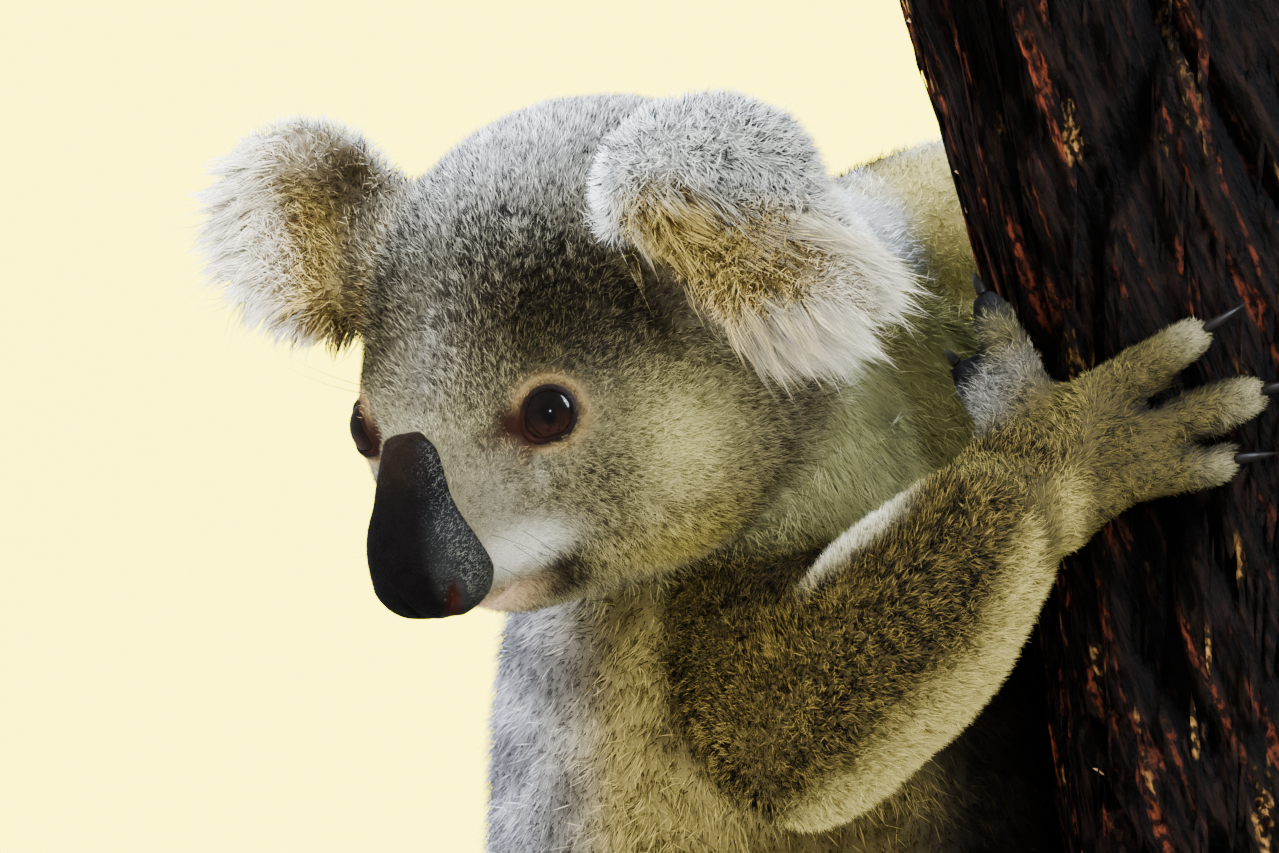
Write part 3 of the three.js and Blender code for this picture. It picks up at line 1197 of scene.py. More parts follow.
HEAD_TONES = Tones((40, 34, 21), (178, 170, 130), 0.46)
HEAD_PATCHES = [
    Patch((30, 0, 44), (44, 62, 36), Tones((14, 12, 8), (110, 106, 88), 0.28)),
    Patch((46, 34, 38), (26, 24, 24), Tones((12, 9, 5), (84, 77, 52), 0.2)),
    Patch((26, 61, 32), (20, 16, 19), Tones((7, 5, 3), (80, 72, 46), 0.2)),
    # The crown: partly its own silver, partly a painted highlight of the light from above.
    Patch((-12, 0, 86), (58, 64, 24), Tones((34, 38, 44), (236, 243, 255), 0.6)),
    Patch((-60, 0, 30), (36, 66, 64), Tones((50, 50, 48), (216, 220, 220), 0.55)),
    Patch((70, 0, 34), (22, 13, 26), Tones((50, 48, 41), (146, 144, 134), 0.42)),
    Patch((62, 38, 30), (14, 11, 9), Tones((18, 15, 8), (100, 93, 56), 0.33)),
    Patch((82, 14, 15), (13, 15, 13), Tones((50, 47, 32), (162, 158, 124), 0.46)),
    Patch((85, 22, -4), (13, 10, 12), Tones((70, 68, 56), (166, 166, 146), 0.55)),
    Patch((42, 58, -12), (20, 16, 18), Tones((128, 122, 66), (236, 232, 160), 0.85)),
    Patch((62, 47, -8), (15, 11, 14), Tones((34, 32, 20), (174, 168, 124), 0.45)),
    Patch((45, 48, -44), (30, 26, 15), Tones((76, 66, 24), (196, 182, 92), 0.62)),
    Patch((75, 34, 1), (9, 8, 6), Tones((44, 42, 32), (164, 160, 132), 0.45)),
    Patch((75.6, 33, -2.5), (2.0, 2.0, 3), Tones((190, 190, 176), (250, 250, 244), 0.9)),
    Patch((86, 20, -22), (8, 7, 7), Tones((226, 224, 214), (255, 255, 255), 0.95)),
    Patch((80, 26.5, -23), (10, 8, 6.5), Tones((226, 224, 210), (255, 255, 252), 0.95)),
    Patch((71.5, 23.5, -35), (6.5, 6.5, 6), Tones((10, 8, 3), (44, 37, 14), 0.12)),
    Patch((67, 19, -43), (6, 7, 5), Tones((16, 12, 5), (60, 50, 20), 0.15)),
    Patch((84, 6, -38), (9, 14, 6), Tones((190, 142, 100), (240, 206, 164), 0.8)),
]
LID_RING = Tones((100, 76, 36), (196, 166, 108), 0.65)
CORNER = Tones((14, 6, 3), (74, 30, 14), 0.25)
TORSO_BACK = Tones((92, 92, 100), (208, 212, 228), 0.66)
TORSO_BELLY = Tones((70, 58, 22), (176, 160, 88), 0.55)
# Painted shade: dark olive for the top of the torso under the head and for the left arm's sides.
TORSO_TOP_PAINTED_SHADE = Tones((84, 84, 44), (184, 182, 118), 0.6)
# Painted shadow: near-black coat for the belly beside the trunk.
BELLY_PAINTED_SHADOW = Tones((12, 9, 7), (56, 46, 30), 0.25)
RUMP = Tones((92, 84, 70), (220, 214, 200), 0.5)
FAR_GREY = Tones((20, 20, 19), (94, 92, 88), 0.5)
NECK_TONES = Tones((190, 196, 128), (244, 250, 196), 0.9)
NECK_LOW = Tones((60, 52, 22), (160, 148, 88), 0.5)
# Partly the fur's own pale grey, partly a painted highlight of the light from above on the arm's upward side.
SHOULDER_TOP_PAINTED_LIGHT = Tones((170, 184, 205), (246, 251, 255), 0.9)
ARM_OUTER = Tones((8, 5, 4), (146, 128, 62), 0.34)
ARM_UNDER = Tones((122, 108, 42), (226, 216, 138), 0.8)
ARM_EDGE = Tones((176, 172, 130), (250, 250, 232), 0.9)
HAND_TONES = Tones((12, 9, 4), (138, 126, 64), 0.42)
TIP_TONES = Tones((116, 114, 84), (222, 221, 194), 0.75)
PAD_TONES = Tones((9, 8, 10), (24, 22, 27), 0.4)
# Painted shade for the gaps between the digits.
WEB_PAINTED_SHADE = Tones((14, 9, 5), (60, 48, 26), 0.15)
LEG_TONES = Tones((84, 76, 62), (190, 184, 168), 0.5)
EAR_BACK = Tones((24, 28, 34), (240, 248, 255), 0.66)
THUMB_FUR = Tones((62, 60, 58), (184, 186, 190), 0.58)
EAR_TIP = Tones((150, 160, 168), (253, 255, 255), 0.92)
EAR_INNER = Tones((64, 46, 16), (206, 184, 104), 0.5)
EAR_FRINGE = Tones((112, 94, 52), (252, 248, 234), 0.62)
# Painted shade: dark brown deep in each ear's hollow.
EAR_ROOT = Tones((24, 17, 6), (92, 76, 34), 0.2)


@dataclass(frozen=True)
class LidPlan:
    """The opening of the eyelids, in the head's frame, in millimetres and degrees.

    Attributes:
        axis: The way the left eye's opening faces.
        corner: The way from the opening's middle to its inner corner.
        half_width: Half the opening's angle, seen from the eye's centre.
        corner_reach: How much wider it is at the inner corner.
        corner_spread: Over what angle that corner narrows.
        rim: How far the rim stands out from the globe.
        tuck: How far the skin dips behind the globe inside the opening.
        reach: The distance out to which the lids shape the face, in half widths.
        far: The distance from the eye's centre out to which they do.
        swell: How much farther the lid stands out behind its rim.
        fold: The depth of the crease behind the rim.
        fold_at: Where the crease is, in half widths.
        fold_width: How wide it is, in half widths.
    """

    axis: Triple = (0.74, 0.56, 0.34)
    corner: Triple = (0.66, -0.61, -0.42)
    half_width: float = 43.0
    corner_reach: float = 20.0
    corner_spread: float = 30.0
    rim: float = 1.0
    tuck: float = 2.4
    reach: float = 1.95
    far: float = 24.0
    swell: float = 0.9
    fold: float = 0.5
    fold_at: float = 1.45
    fold_width: float = 0.12


@dataclass(frozen=True)
class MouthPlan:
    """The line of the closed mouth on the left, in the head's frame, in millimetres."""

    line: tuple[Triple, ...] = (
        (94, 0, -38.5),
        (88, 6, -37.5),
        (84.5, 15.5, -33),
        (81.7, 21.4, -28.3),
        (79, 25, -26),
        (74, 27, -30),
    )
    depth: float = 1.7
    width: float = 1.1
    lip: float = 0.7
    below: Triple = (0.35, 0, -0.94)


@dataclass(frozen=True)
class HandPlan:
    """How a hand's digits part. Lengths are in millimetres, in the hand's own frame.

    Attributes:
        claw_skew: How far the line through the outer claws is turned from the y axis, in degrees.
        claw_reach: The middle claw's distance along the x axis.
        claw_drop: How far the claws lie below the middle of the digits.
        webs: The middle of the gap between two digits, from the palm outwards.
        narrow: The gap's width at the palm.
        wide: Its width at the tips.
        height: Half the height of what cuts the gap.
        half_width: How far to each side of the gap the coat is darkened as painted shade.
    """

    claw_skew: float = 4.0
    claw_reach: float = 79.5
    claw_drop: float = 3.5
    webs: tuple[tuple[Triple, Triple], ...] = (((38, 6.8, 0), (70, 12, 0)), ((48, -8, 0), (66, -10, 0)))
    narrow: float = 1.4
    wide: float = 3.8
    height: float = 22.0
    half_width: float = 3.4

    def frame(self, hand: str) -> LocalFrame:
        """The hand's frame: x to its claws, y to its thumbs, z out of its back, from its wrist.

        Args:
            hand: The hand's node.

        Returns:
            The frame.
        """
        claws = {digit: centre_of(f"claw_{hand}_{digit}") for digit in "12345"}
        across = unit(claws["3"] - claws["5"])
        out = unit(np.cross(claws["4"] - claws["5"], across))
        out = out if (claws["2"] - claws["4"]) @ out < 0 else -out
        ahead = flattened(unit(claws["4"] - (claws["3"] + claws["5"]) / 2), across)
        skew = math.radians(self.claw_skew)
        x = ahead * math.cos(skew) + across * math.sin(skew)
        y = across * math.cos(skew) - ahead * math.sin(skew)
        origin = claws["4"] - (x * self.claw_reach - out * self.claw_drop) * MM
        return LocalFrame(origin, np.stack([x, y, out]))

    def beside(self, local: Array) -> Array:
        """How near points of the hand's frame are to a gap between two digits, from 0 to 1.

        Args:
            local: The points.

        Returns:
            A share for each.
        """
        flat = local * np.array([1, 1, 0])
        near = np.min([distance_to_line(flat, web) for web in self.webs], axis=0)
        return np.exp(-((near / self.half_width) ** 2)) * smoothstep(27, 34, local[:, 0])

    def wedges(self, hand: str) -> tuple[Array, Array]:
        """The wedges that cut the gaps, as points of the row's frame and triangles.

        Args:
            hand: The hand's node.

        Returns:
            The points, and three of their numbers for each triangle.
        """
        place = self.frame(hand)
        points, triangles = [], []
        for start, end in np.array(self.webs, float):
            aside = unit(np.cross(end - start, [0, 0, 1]))
            first = len(points)
            for spot, width in ((start, self.narrow), (end, self.wide)):
                for side, up in ((-1, -1), (1, -1), (1, 1), (-1, 1)):
                    points.append(spot + aside * (side * width / 2) + np.array([0, 0, up * self.height]))
            quads = [(0, 1, 2, 3), (7, 6, 5, 4), (0, 4, 5, 1), (1, 5, 6, 2), (2, 6, 7, 3), (3, 7, 4, 0)]
            triangles += [(first + q[0], first + q[k], first + q[k + 1]) for q in quads for k in (1, 2)]
        return place.outside(np.array(points)), np.array(triangles)


def mirrored(points: Array) -> Array:
    """Points of the head's frame, with those on the right brought over to the left."""
    return np.stack([points[:, 0], np.abs(points[:, 1]), points[:, 2]], axis=1)


def distance_to_line(points: Array, line: Sequence[Sequence[float]]) -> Array:
    """The distance from each point to a line through several points.

    Args:
        points: The points in rows.
        line: The line's points.

    Returns:
        One distance for each point.
    """
    best = np.full(len(points), np.inf)
    for start, end in itertools.pairwise(np.array(line, float)):
        way = end - start
        along = np.clip((points - start) @ way / (way @ way), 0, 1)
        best = np.minimum(best, np.linalg.norm(points - start - along[:, None] * way, axis=1))
    return best


class Skin:
    """The skin of the whole body as one closed surface, with what the coat needs to know at each point."""

    PITCH = 1.9 * MM
    WEDGE_PITCH = 1.2 * MM
    GROWTH = 0.4 * MM
    ROUNDS = 110
    STEPS = 4
    FINE_REACH = 22.0
    FINEST_REACH = 16.0
    MOST_TRIANGLES = 188_000
    MUZZLE = (162, 0, -23)
    MUZZLE_REACH = (100, 32, 31)
    EYE_DEPTH = Rise(0.5, 3.5, 14, 34)
    NOSE_DEPTH = Rise(1.3, 3.0, 26, 52)
    EAR_RADIUS = 24.0
    EAR_DISH = 9.0

    def __init__(self, head: LocalFrame, ears: Sequence[EarPlan], lids: LidPlan, mouth: MouthPlan) -> None:
        """Builds the skin's shape.

        Args:
            head: The head's frame.
            ears: How each ear is turned.
            lids: The eyelids' sizes.
            mouth: The mouth's line.
        """
        self.head, self.lids, self.mouth = head, lids, mouth
        self.ear_plans = {plan.node: plan for plan in ears}
        self.ears = {plan.node: plan.frame() for plan in ears}
        self.names = [*FLESH_NODES, "nose", "eye_left", "eye_right"]
        self.head_names = [name for name in self.names if region_of(name) is Region.HEAD]
        points, triangles, self.owners = solid_copy(self.names, self.GROWTH)
        self.tree = BVHTree.FromPolygons(points.tolist(), triangles.tolist())
        low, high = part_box("eye_left")
        self.eye_radius = float(np.mean(high - low)) / 2 / MM
        mesh = remeshed("koala_skin", points, triangles, self.PITCH)
        for hand in ("hand_left", "hand_right"):
            wedges = remeshed(f"gaps_{hand}", *HandPlan().wedges(hand), self.WEDGE_PITCH)
            mesh = without("koala_skin", mesh, wedges)
        largest_part(mesh)
        self.surface = Surface(mesh)
        self.owner = self.nearest_nodes(self.surface.points)
        self.shrink()
        self.hollow_ears()
        self.surface.store()
        for reach in (self.FINE_REACH, self.FINEST_REACH):
            subdivided(mesh, lambda places, r=reach: self.near_face(places, r))
        self.surface = Surface(mesh)
        fine = self.near_face(self.surface.points, self.FINE_REACH).astype(float)
        self.surface.points = self.surface.softened(self.surface.points, 24, fine * 0.5)
        self.shape_lids()
        self.shape_mouth()
        self.surface.store()
        self.owner = self.nearest_nodes(self.surface.points)
        log.info("skin: %d points, %d triangles", len(self.surface.points), len(self.surface.triangles))

    def nearest_nodes(self, points: Array) -> Array:
        """The number in names of the solid nearest to each point."""
        return np.array([self.owners[self.tree.find_nearest(Vector(point))[2]] for point in points])

    def thinned(self) -> tuple[bpy.types.Mesh, Array]:
        """Takes out what the coat hides, and keeps the face fine.

        Returns:
            A lighter mesh of the skin, and the number of the surface's point nearest to each of its own.
        """
        carrier = linked("thinning", self.surface.mesh)
        coarse = np.flatnonzero(~self.near_face(self.surface.points, self.FINE_REACH))
        carrier.vertex_groups.new(name="coarse").add(coarse.tolist(), 1.0, "REPLACE")
        modifier = carrier.modifiers.new("thinning", "DECIMATE")
        modifier.ratio = self.MOST_TRIANGLES / len(self.surface.triangles)
        modifier.vertex_group = "coarse"
        mesh = outcome(carrier)
        near = KDTree(len(self.surface.points))
        for number, point in enumerate(self.surface.points):
            near.insert(point, number)
        near.balance()
        return mesh, np.array([near.find(vertex.co)[1] for vertex in mesh.vertices])

    def per_node(self, rule: Callable[[Region], float]) -> Array:
        """A number for each point, by the region it is in."""
        by_node = np.array([rule(region_of(name)) for name in self.names])
        return by_node[self.owner]

    def on(self, *nodes: str) -> Array:
        """Whether each point is on one of some nodes."""
        return np.isin(self.owner, [self.names.index(node) for node in nodes])

    def nose_distance(self, local: Array) -> Array:
        """The distance to the nose's centre, in millimetres."""
        return np.linalg.norm(local - self.head.inside(centre_of("nose")), axis=1)

    def eye_centres(self) -> dict[str, Array]:
        """The eyes' centres in the head's frame."""
        return {name: self.head.inside(centre_of(name)) for name in SIDES}

    def eye_distance(self, local: Array) -> Array:
        """The distance to the nearer eye's centre, in millimetres."""
        return np.min([np.linalg.norm(local - centre, axis=1) for centre in self.eye_centres().values()], axis=0)

    def near_face(self, points: Array, reach: float) -> Array:
        """Whether points lie near the eyes, or, at the wider reach, about the muzzle.

        Args:
            points: Points of the row's frame.
            reach: How far from an eye's centre, in millimetres.

        Returns:
            True or false for each.
        """
        local = self.head.inside(points)
        near = self.eye_distance(local) < reach
        if reach > self.FINEST_REACH:
            offset = np.abs(local - self.MUZZLE) < self.MUZZLE_REACH
            near |= offset.all(axis=1)
        return near

    def shrink(self) -> None:
        """Smooths away the solids' edges, then draws the surface in by the coat's depth."""
        strength = self.surface.softened(self.per_node(lambda region: COATS[region].softening), 8)
        self.surface.points = self.surface.softened(self.surface.points, self.ROUNDS, 0.5 * strength)
        depth = self.per_node(lambda region: COATS[region].depth)
        local = self.head.inside(self.surface.points)
        on_head = self.on(*self.head_names)
        near = np.minimum(self.EYE_DEPTH.at(self.eye_distance(local)), self.NOSE_DEPTH.at(self.nose_distance(local)))
        depth[on_head] = np.minimum(depth, near)[on_head]
        for node, ear in self.ears.items():
            mine = self.on(node)
            depth[mine] += 3 * self.ear_plans[node].openness(ear.inside(self.surface.points[mine]), 4)
        depth = self.surface.softened(depth, 14)
        for _ in range(self.STEPS):
            self.surface.points = self.surface.points - self.surface.normals() * (depth * MM / self.STEPS)[:, None]
            self.surface.points = self.surface.softened(self.surface.points, 2, 0.4 * strength)

    def hollow_ears(self) -> None:
        """Dishes the open side of each ear."""
        for node, ear in self.ears.items():
            local = ear.inside(self.surface.points)
            out = np.hypot(local[:, 1], local[:, 2]) / self.EAR_RADIUS
            dish = self.EAR_DISH * smoothstep(1, 0.2, out) * smoothstep(-2, 6, local[:, 0]) * self.on(node)
            self.surface.points -= (dish * MM)[:, None] * ear.axes[0]

    def around_eye(self, eye: str) -> tuple[Array, Array, Array]:
        """Where the points lie about one eye.

        Args:
            eye: Its node.

        Returns:
            How far out of the lids' opening each point is, where 1 is on its rim, the way to it from the eye's
            centre, and its distance in millimetres.
        """
        flip = np.array([1, SIDES[eye], 1])
        rays = self.head.inside(self.surface.points) - self.eye_centres()[eye]
        far = np.linalg.norm(rays, axis=1)
        ways = rays / far[:, None]
        axis = unit(np.array(self.lids.axis) * flip)
        corner = flattened(np.array(self.lids.corner) * flip, axis)
        angle = np.degrees(np.arccos(np.clip(ways @ axis, -1, 1)))
        flat = ways - (ways @ axis)[:, None] * axis
        turn = np.degrees(np.arccos(np.clip(unit(flat) @ corner, -1, 1)))
        opening = self.lids.half_width + self.lids.corner_reach * np.exp(-((turn / self.lids.corner_spread) ** 2))
        return angle / opening, ways, far

    def shape_lids(self) -> None:
        """Folds the skin round each eye into a rim with an inner corner."""
        local = self.head.inside(self.surface.points)
        lids = self.lids
        for eye, centre in self.eye_centres().items():
            out, ways, far = self.around_eye(eye)
            rim = self.eye_radius + lids.rim - (lids.tuck + lids.rim) * smoothstep(1.03, 0.9, out)
            fold = lids.fold * np.exp(-(((out - lids.fold_at) / lids.fold_width) ** 2))
            blend = smoothstep(lids.reach, 1.2, out) * (far < lids.far)
            wanted = rim + lids.swell * smoothstep(1.1, 1.6, out) - fold
            moved = centre + ways * (far + (wanted - far) * blend)[:, None]
            local = np.where((blend > 0)[:, None], moved, local)
        self.surface.points = self.head.outside(local)

    def mouth_distance(self) -> Array:
        """The distance from each point to the mouth's line."""
        return distance_to_line(mirrored(self.head.inside(self.surface.points)), self.mouth.line)

    def shape_mouth(self) -> None:
        """Presses in the line of the closed mouth, with a soft lip under it."""
        far = self.mouth_distance()
        below = self.head.inside(self.surface.points) @ np.array(self.mouth.below)
        groove = -self.mouth.depth * np.exp(-((far / self.mouth.width) ** 2))
        lip = self.mouth.lip * np.exp(-(((far - 3) / 1.8) ** 2)) * (below > 0)
        self.surface.points = self.surface.points + self.surface.normals() * ((groove + lip) * MM)[:, None]


@dataclass(frozen=True)
class BareSkin:
    """The skin's bare parts: display colours, places in the head's frame and millimetres.

    The edges of the lids' bands are in half widths of the opening: where a band starts to show, and where it is full.
    """

    around_rim: Colour = (44, 30, 20)
    around_edge: tuple[float, float] = (1.5, 1.3)
    rim: Colour = (18, 9, 7)
    rim_edge: tuple[float, float] = (1.27, 1.16)
    inside_rim: Colour = (8, 4, 4)
    inside_edge: tuple[float, float] = (1.05, 0.98)
    hairless_edge: tuple[float, float] = (1.24, 1.14)
    lid_reach: float = 16.0
    corner: Colour = (32, 12, 7)
    corner_shift: Triple = (12.6, -5.4, -1.2)
    corner_radii: Triple = (6, 4.8, 4.8)
    mouth: Colour = (40, 22, 18)
    mouth_width: float = 1.2
    hairless_width: float = 1.4
    pad: Colour = (6, 6, 8)
    pad_edge: tuple[float, float] = (14, 12)
    lip: Colour = (196, 158, 138)
    lip_at: Triple = (85, 9, -40)
    lip_radii: Triple = (9, 12, 4.5)


class Markings:
    """The tones of the coat and skin all over the body."""

    GREY_BEHIND = (Region.HEAD, Region.NECK, Region.TORSO, Region.UPPER_ARM, Region.THIGH, Region.SHANK)
    TIP_REACH = (22 * MM, 10 * MM)
    FUR_REACH = (34 * MM, 22 * MM)
    FUR_START = (22 * MM, 32 * MM)
    PAD_REACH = (17 * MM, 14 * MM)
    LID_RING_AT = 11.6
    LID_RING_WIDTH = 1.1
    CORNER_SHIFT = (13.2, -5.5, 1.5)
    CORNER_RADII = (6.5, 5.5, 6)

    def __init__(self, skin: Skin) -> None:
        """Works out the tones at each point of the skin.

        Args:
            skin: The skin, in its final shape.
        """
        self.skin = skin
        self.points = skin.surface.points
        self.normals = skin.surface.softened(skin.surface.normals(), 6)
        count = len(self.points)
        self.tones = ToneField.plain(count, HEAD_TONES)
        for number, name in enumerate(skin.names):
            chosen = np.flatnonzero(skin.owner == number)
            if len(chosen):
                self.tones.take(chosen, self.tones_of(name, chosen))
        grey = skin.on(*(name for name in skin.names if region_of(name) in self.GREY_BEHIND))
        self.tones.lay(FAR_GREY, smoothstep(0.08, 0.6, self.normals[:, 1]) * grey * 0.85)
        sharp = skin.near_face(self.points, skin.FINE_REACH)
        for name in ("dark", "pale", "share"):
            values = getattr(self.tones, name)
            keep = sharp if values.ndim == 1 else sharp[:, None]
            setattr(self.tones, name, np.where(keep, values, skin.surface.softened(values, 10)))
        self.gloss = np.zeros(count)
        self.mark_bare_skin()

    def tones_of(self, name: str, chosen: Array) -> ToneField:
        """The tones of one node's points.

        Args:
            name: The node.
            chosen: The numbers of its points.

        Returns:
            Their tones.
        """
        rules = {
            self.head_tones: (Region.HEAD,),
            self.ear_tones: (Region.EAR,),
            self.trunk_tones: (Region.NECK, Region.TORSO),
            self.arm_tones: (Region.UPPER_ARM, Region.FOREARM),
            self.leg_tones: (Region.THIGH, Region.SHANK),
            self.paw_tones: (Region.HAND, Region.FOOT),
        }
        return next(rule(name, chosen) for rule, regions in rules.items() if region_of(name) in regions)

    def head_tones(self, name: str, chosen: Array) -> ToneField:
        """The head's patches, the same on both sides, and the rings round the eyes.

        Args:
            name: The node, which is not used.
            chosen: The numbers of its points.

        Returns:
            Their tones.
        """
        skin = self.skin
        local = mirrored(skin.head.inside(self.points[chosen]))
        tones = ToneField.plain(len(chosen), HEAD_TONES)
        for patch in HEAD_PATCHES:
            tones.lay(patch.tones, blob(local, patch.at, patch.radii))
        far = skin.eye_distance(local)
        tones.lay(LID_RING, np.exp(-(((far - self.LID_RING_AT) / self.LID_RING_WIDTH) ** 2)) * 0.75)
        corner = skin.eye_centres()["eye_left"] + np.array(self.CORNER_SHIFT)
        tones.lay(CORNER, np.clip(1.7 * blob(local, corner, self.CORNER_RADII), 0, 1))
        return tones

    def ear_tones(self, name: str, chosen: Array) -> ToneField:
        """Silver behind, tan inside, white at the rim, dark at the inner root.

        Args:
            name: The node.
            chosen: The numbers of its points.

        Returns:
            Their tones.
        """
        plan = self.skin.ear_plans[name]
        local = self.skin.ears[name].inside(self.points[chosen])
        tones = ToneField.plain(len(chosen), EAR_BACK)
        tones.lay(EAR_TIP, smoothstep(8, 34, local[:, 2]))
        inner = plan.openness(local)
        tones.lay(EAR_INNER, inner)
        rim = smoothstep(plan.pale_edge, plan.pale_edge + 16, np.hypot(local[:, 1], local[:, 2] + 4))
        rim *= smoothstep(-26, -12, local[:, 2])
        rim = np.maximum(rim, smoothstep(plan.pale_before, plan.pale_before - 12, local[:, 1]))
        tones.lay(EAR_FRINGE, inner * rim)
        # Painted shade deep in the ear's hollow.
        tones.lay(EAR_ROOT, inner * blob(local, plan.inner_root, plan.inner_radii))
        return tones

    def trunk_tones(self, name: str, chosen: Array) -> ToneField:
        """Grey over the back, cream towards the belly, dappled at the rump.

        Args:
            name: The node.
            chosen: The numbers of its points.

        Returns:
            Their tones.
        """
        points = self.points[chosen]
        low, high = (np.array(corner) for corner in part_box(name))
        share = (points - low) / (high - low)
        if name == "neck":
            tones = ToneField.plain(len(chosen), NECK_LOW)
            tones.lay(NECK_TONES, smoothstep(0.34, 0.5, share[:, 2]))
            tones.lay(TORSO_BACK, smoothstep(0, 30, points[:, 1] / MM))
            return tones
        tones = ToneField.plain(len(chosen), TORSO_BACK)
        seen = smoothstep(0.6, 0.3, share[:, 1])
        front = smoothstep(0.05, 0.7 - 0.46 * seen, share[:, 0])
        tones.lay(TORSO_BELLY, front)
        # Painted shadow on the belly beside the trunk, on the seen side.
        tones.lay(BELLY_PAINTED_SHADOW, smoothstep(0.62, 0.78, share[:, 0]) * seen)
        # Painted shadows between the coat's clumps: wavy bands with fewer pale tufts, stronger on the seen side.
        wavy = points / MM + noise_vectors(points, 0.03, 63) * 9
        wave = noise(wavy * np.array([0.5, 0.5, 1.5]), 13.0, 61)
        tones.share *= 1 - (0.3 + 0.5 * seen) * smoothstep(0.45, 0.65, wave)
        # Painted shade over the top of the torso on the seen side.
        tones.lay(TORSO_TOP_PAINTED_SHADE, smoothstep(0.7, 0.8, share[:, 2]) * seen)
        tones.lay(RUMP, smoothstep(0.32, 0.1, share[:, 2]))
        return tones

    def arm_tones(self, name: str, chosen: Array) -> ToneField:
        """Dark and speckled outside, cream below, with a white upper edge.

        Args:
            name: The node.
            chosen: The numbers of its points.

        Returns:
            Their tones.
        """
        side = name.rsplit("_", 1)[1]
        points, normals = self.points[chosen], self.normals[chosen]
        along = unit(centre_of(f"hand_{side}") - centre_of(f"upper_arm_{side}"))
        outside = np.array([0, -1 if side == "right" else 1, 0])
        below = unit(np.cross(along, outside))
        below = below if below[2] < 0 else -below
        lean = normals @ below
        facing = normals @ outside
        tones = ToneField.plain(len(chosen), ARM_OUTER)
        near_hand = np.linalg.norm(points - centre_of(f"hand_{side}"), axis=1) / MM
        wider = smoothstep(75, 30, near_hand) * 0.5
        tones.lay(ARM_UNDER, smoothstep(0.3 - wider, 0.8 - wider, lean))
        tones.lay(ARM_UNDER, smoothstep(-0.2, -0.6, facing))
        if name == "upper_arm_left":
            # Painted shade on the left arm's sides.
            tones.lay(TORSO_TOP_PAINTED_SHADE, smoothstep(-0.9, -0.5, normals[:, 2]))
            # Painted highlight: the upward side is made near white where the light from above falls.
            tones.lay(SHOULDER_TOP_PAINTED_LIGHT, smoothstep(-0.4, 0.4, normals[:, 2]))
        if name.startswith("forearm"):
            window = smoothstep(108, 90, near_hand) * smoothstep(56, 76, near_hand)
            ragged = smoothstep(0.3, 0.6, noise(points, 0.003, 67))
            tones.lay(ARM_EDGE, smoothstep(-0.82, -0.98, lean) * window * (0.4 + 0.6 * ragged))
        return tones

    def leg_tones(self, name: str, chosen: Array) -> ToneField:
        """Grey-brown outside, paler within.

        Args:
            name: The node.
            chosen: The numbers of its points.

        Returns:
            Their tones.
        """
        outside = -1 if name.endswith("right") else 1
        tones = ToneField.plain(len(chosen), LEG_TONES)
        tones.lay(TORSO_BELLY, smoothstep(0.1, -0.6, outside * self.normals[chosen][:, 1]))
        return tones

    def paw_tones(self, name: str, chosen: Array) -> ToneField:
        """Olive brown, with cream at the tips of the digits and dark pads.

        Args:
            name: The node.
            chosen: The numbers of its points.

        Returns:
            Their tones.
        """
        points = self.points[chosen]
        tones = ToneField.plain(len(chosen), HAND_TONES)
        claws = claws_of(name)
        roots = np.array([centre_of(claw) for claw in claws])
        far = np.linalg.norm(points[:, None] - roots[None], axis=2)
        tones.lay(TIP_TONES, smoothstep(*self.TIP_REACH, far.min(1)) * 0.6)
        outside = -1 if name.endswith("right") else 1
        palm = smoothstep(-0.35, -0.75, outside * self.normals[chosen][:, 1])
        tones.lay(PAD_TONES, palm)
        if name.startswith("hand"):
            plan = HandPlan()
            # Painted shade along the gaps between the digits.
            tones.lay(WEB_PAINTED_SHADE, plan.beside(plan.frame(name).inside(points)))
            first, second = (far[:, number] for number, claw in enumerate(claws) if claw[-1] in "12")
            beside_pad = smoothstep(*self.FUR_REACH, first) * smoothstep(*self.FUR_START, second)
            tones.lay(THUMB_FUR, beside_pad * 0.7)
            tones.lay(PAD_TONES, smoothstep(*self.PAD_REACH, np.minimum(first, second)))
        return tones

    def mark_bare_skin(self) -> None:
        """Moist lid rims and the mouth's line, which have no hair."""
        skin, bare = self.skin, BareSkin()
        self.bare = np.zeros(len(self.points))
        self.colour = self.tones.mean() * 0.5
        local = mirrored(skin.head.inside(self.points))

        def lay(colour: Colour, cover: Array, gloss: float = 0.0) -> None:
            """Lays a colour over those there are, with its gloss."""
            self.colour = mix(self.colour, linear(colour), cover)
            self.gloss = np.maximum(self.gloss, cover * gloss)

        for eye in SIDES:
            out, _, far = skin.around_eye(eye)
            near = far < bare.lid_reach
            rim = smoothstep(*bare.rim_edge, out) * near
            lay(bare.around_rim, smoothstep(*bare.around_edge, out) * near * 0.7)
            lay(bare.rim, rim, 0.8)
            lay(bare.inside_rim, smoothstep(*bare.inside_edge, out) * rim)
            self.bare = np.maximum(self.bare, smoothstep(*bare.hairless_edge, out) * near)
            corner = skin.eye_centres()["eye_left"] + np.array(bare.corner_shift)
            lay(bare.corner, np.clip(2 * blob(local, corner, bare.corner_radii), 0, 1))
        mouth = skin.mouth_distance()
        lay(bare.mouth, np.exp(-((mouth / bare.mouth_width) ** 2)))
        thumbs = np.array([centre_of(f"claw_hand_{side}_{digit}") for side in ("left", "right") for digit in "12"])
        far = np.linalg.norm(self.points[:, None] - thumbs[None], axis=2).min(1) / MM
        pad = smoothstep(*bare.pad_edge, far)
        lay(bare.pad, pad, 0.5)
        lay(bare.lip, blob(local, bare.lip_at, bare.lip_radii) * 0.9)
        self.bare = np.maximum(np.maximum(self.bare, pad), np.exp(-((mouth / bare.hairless_width) ** 2)))

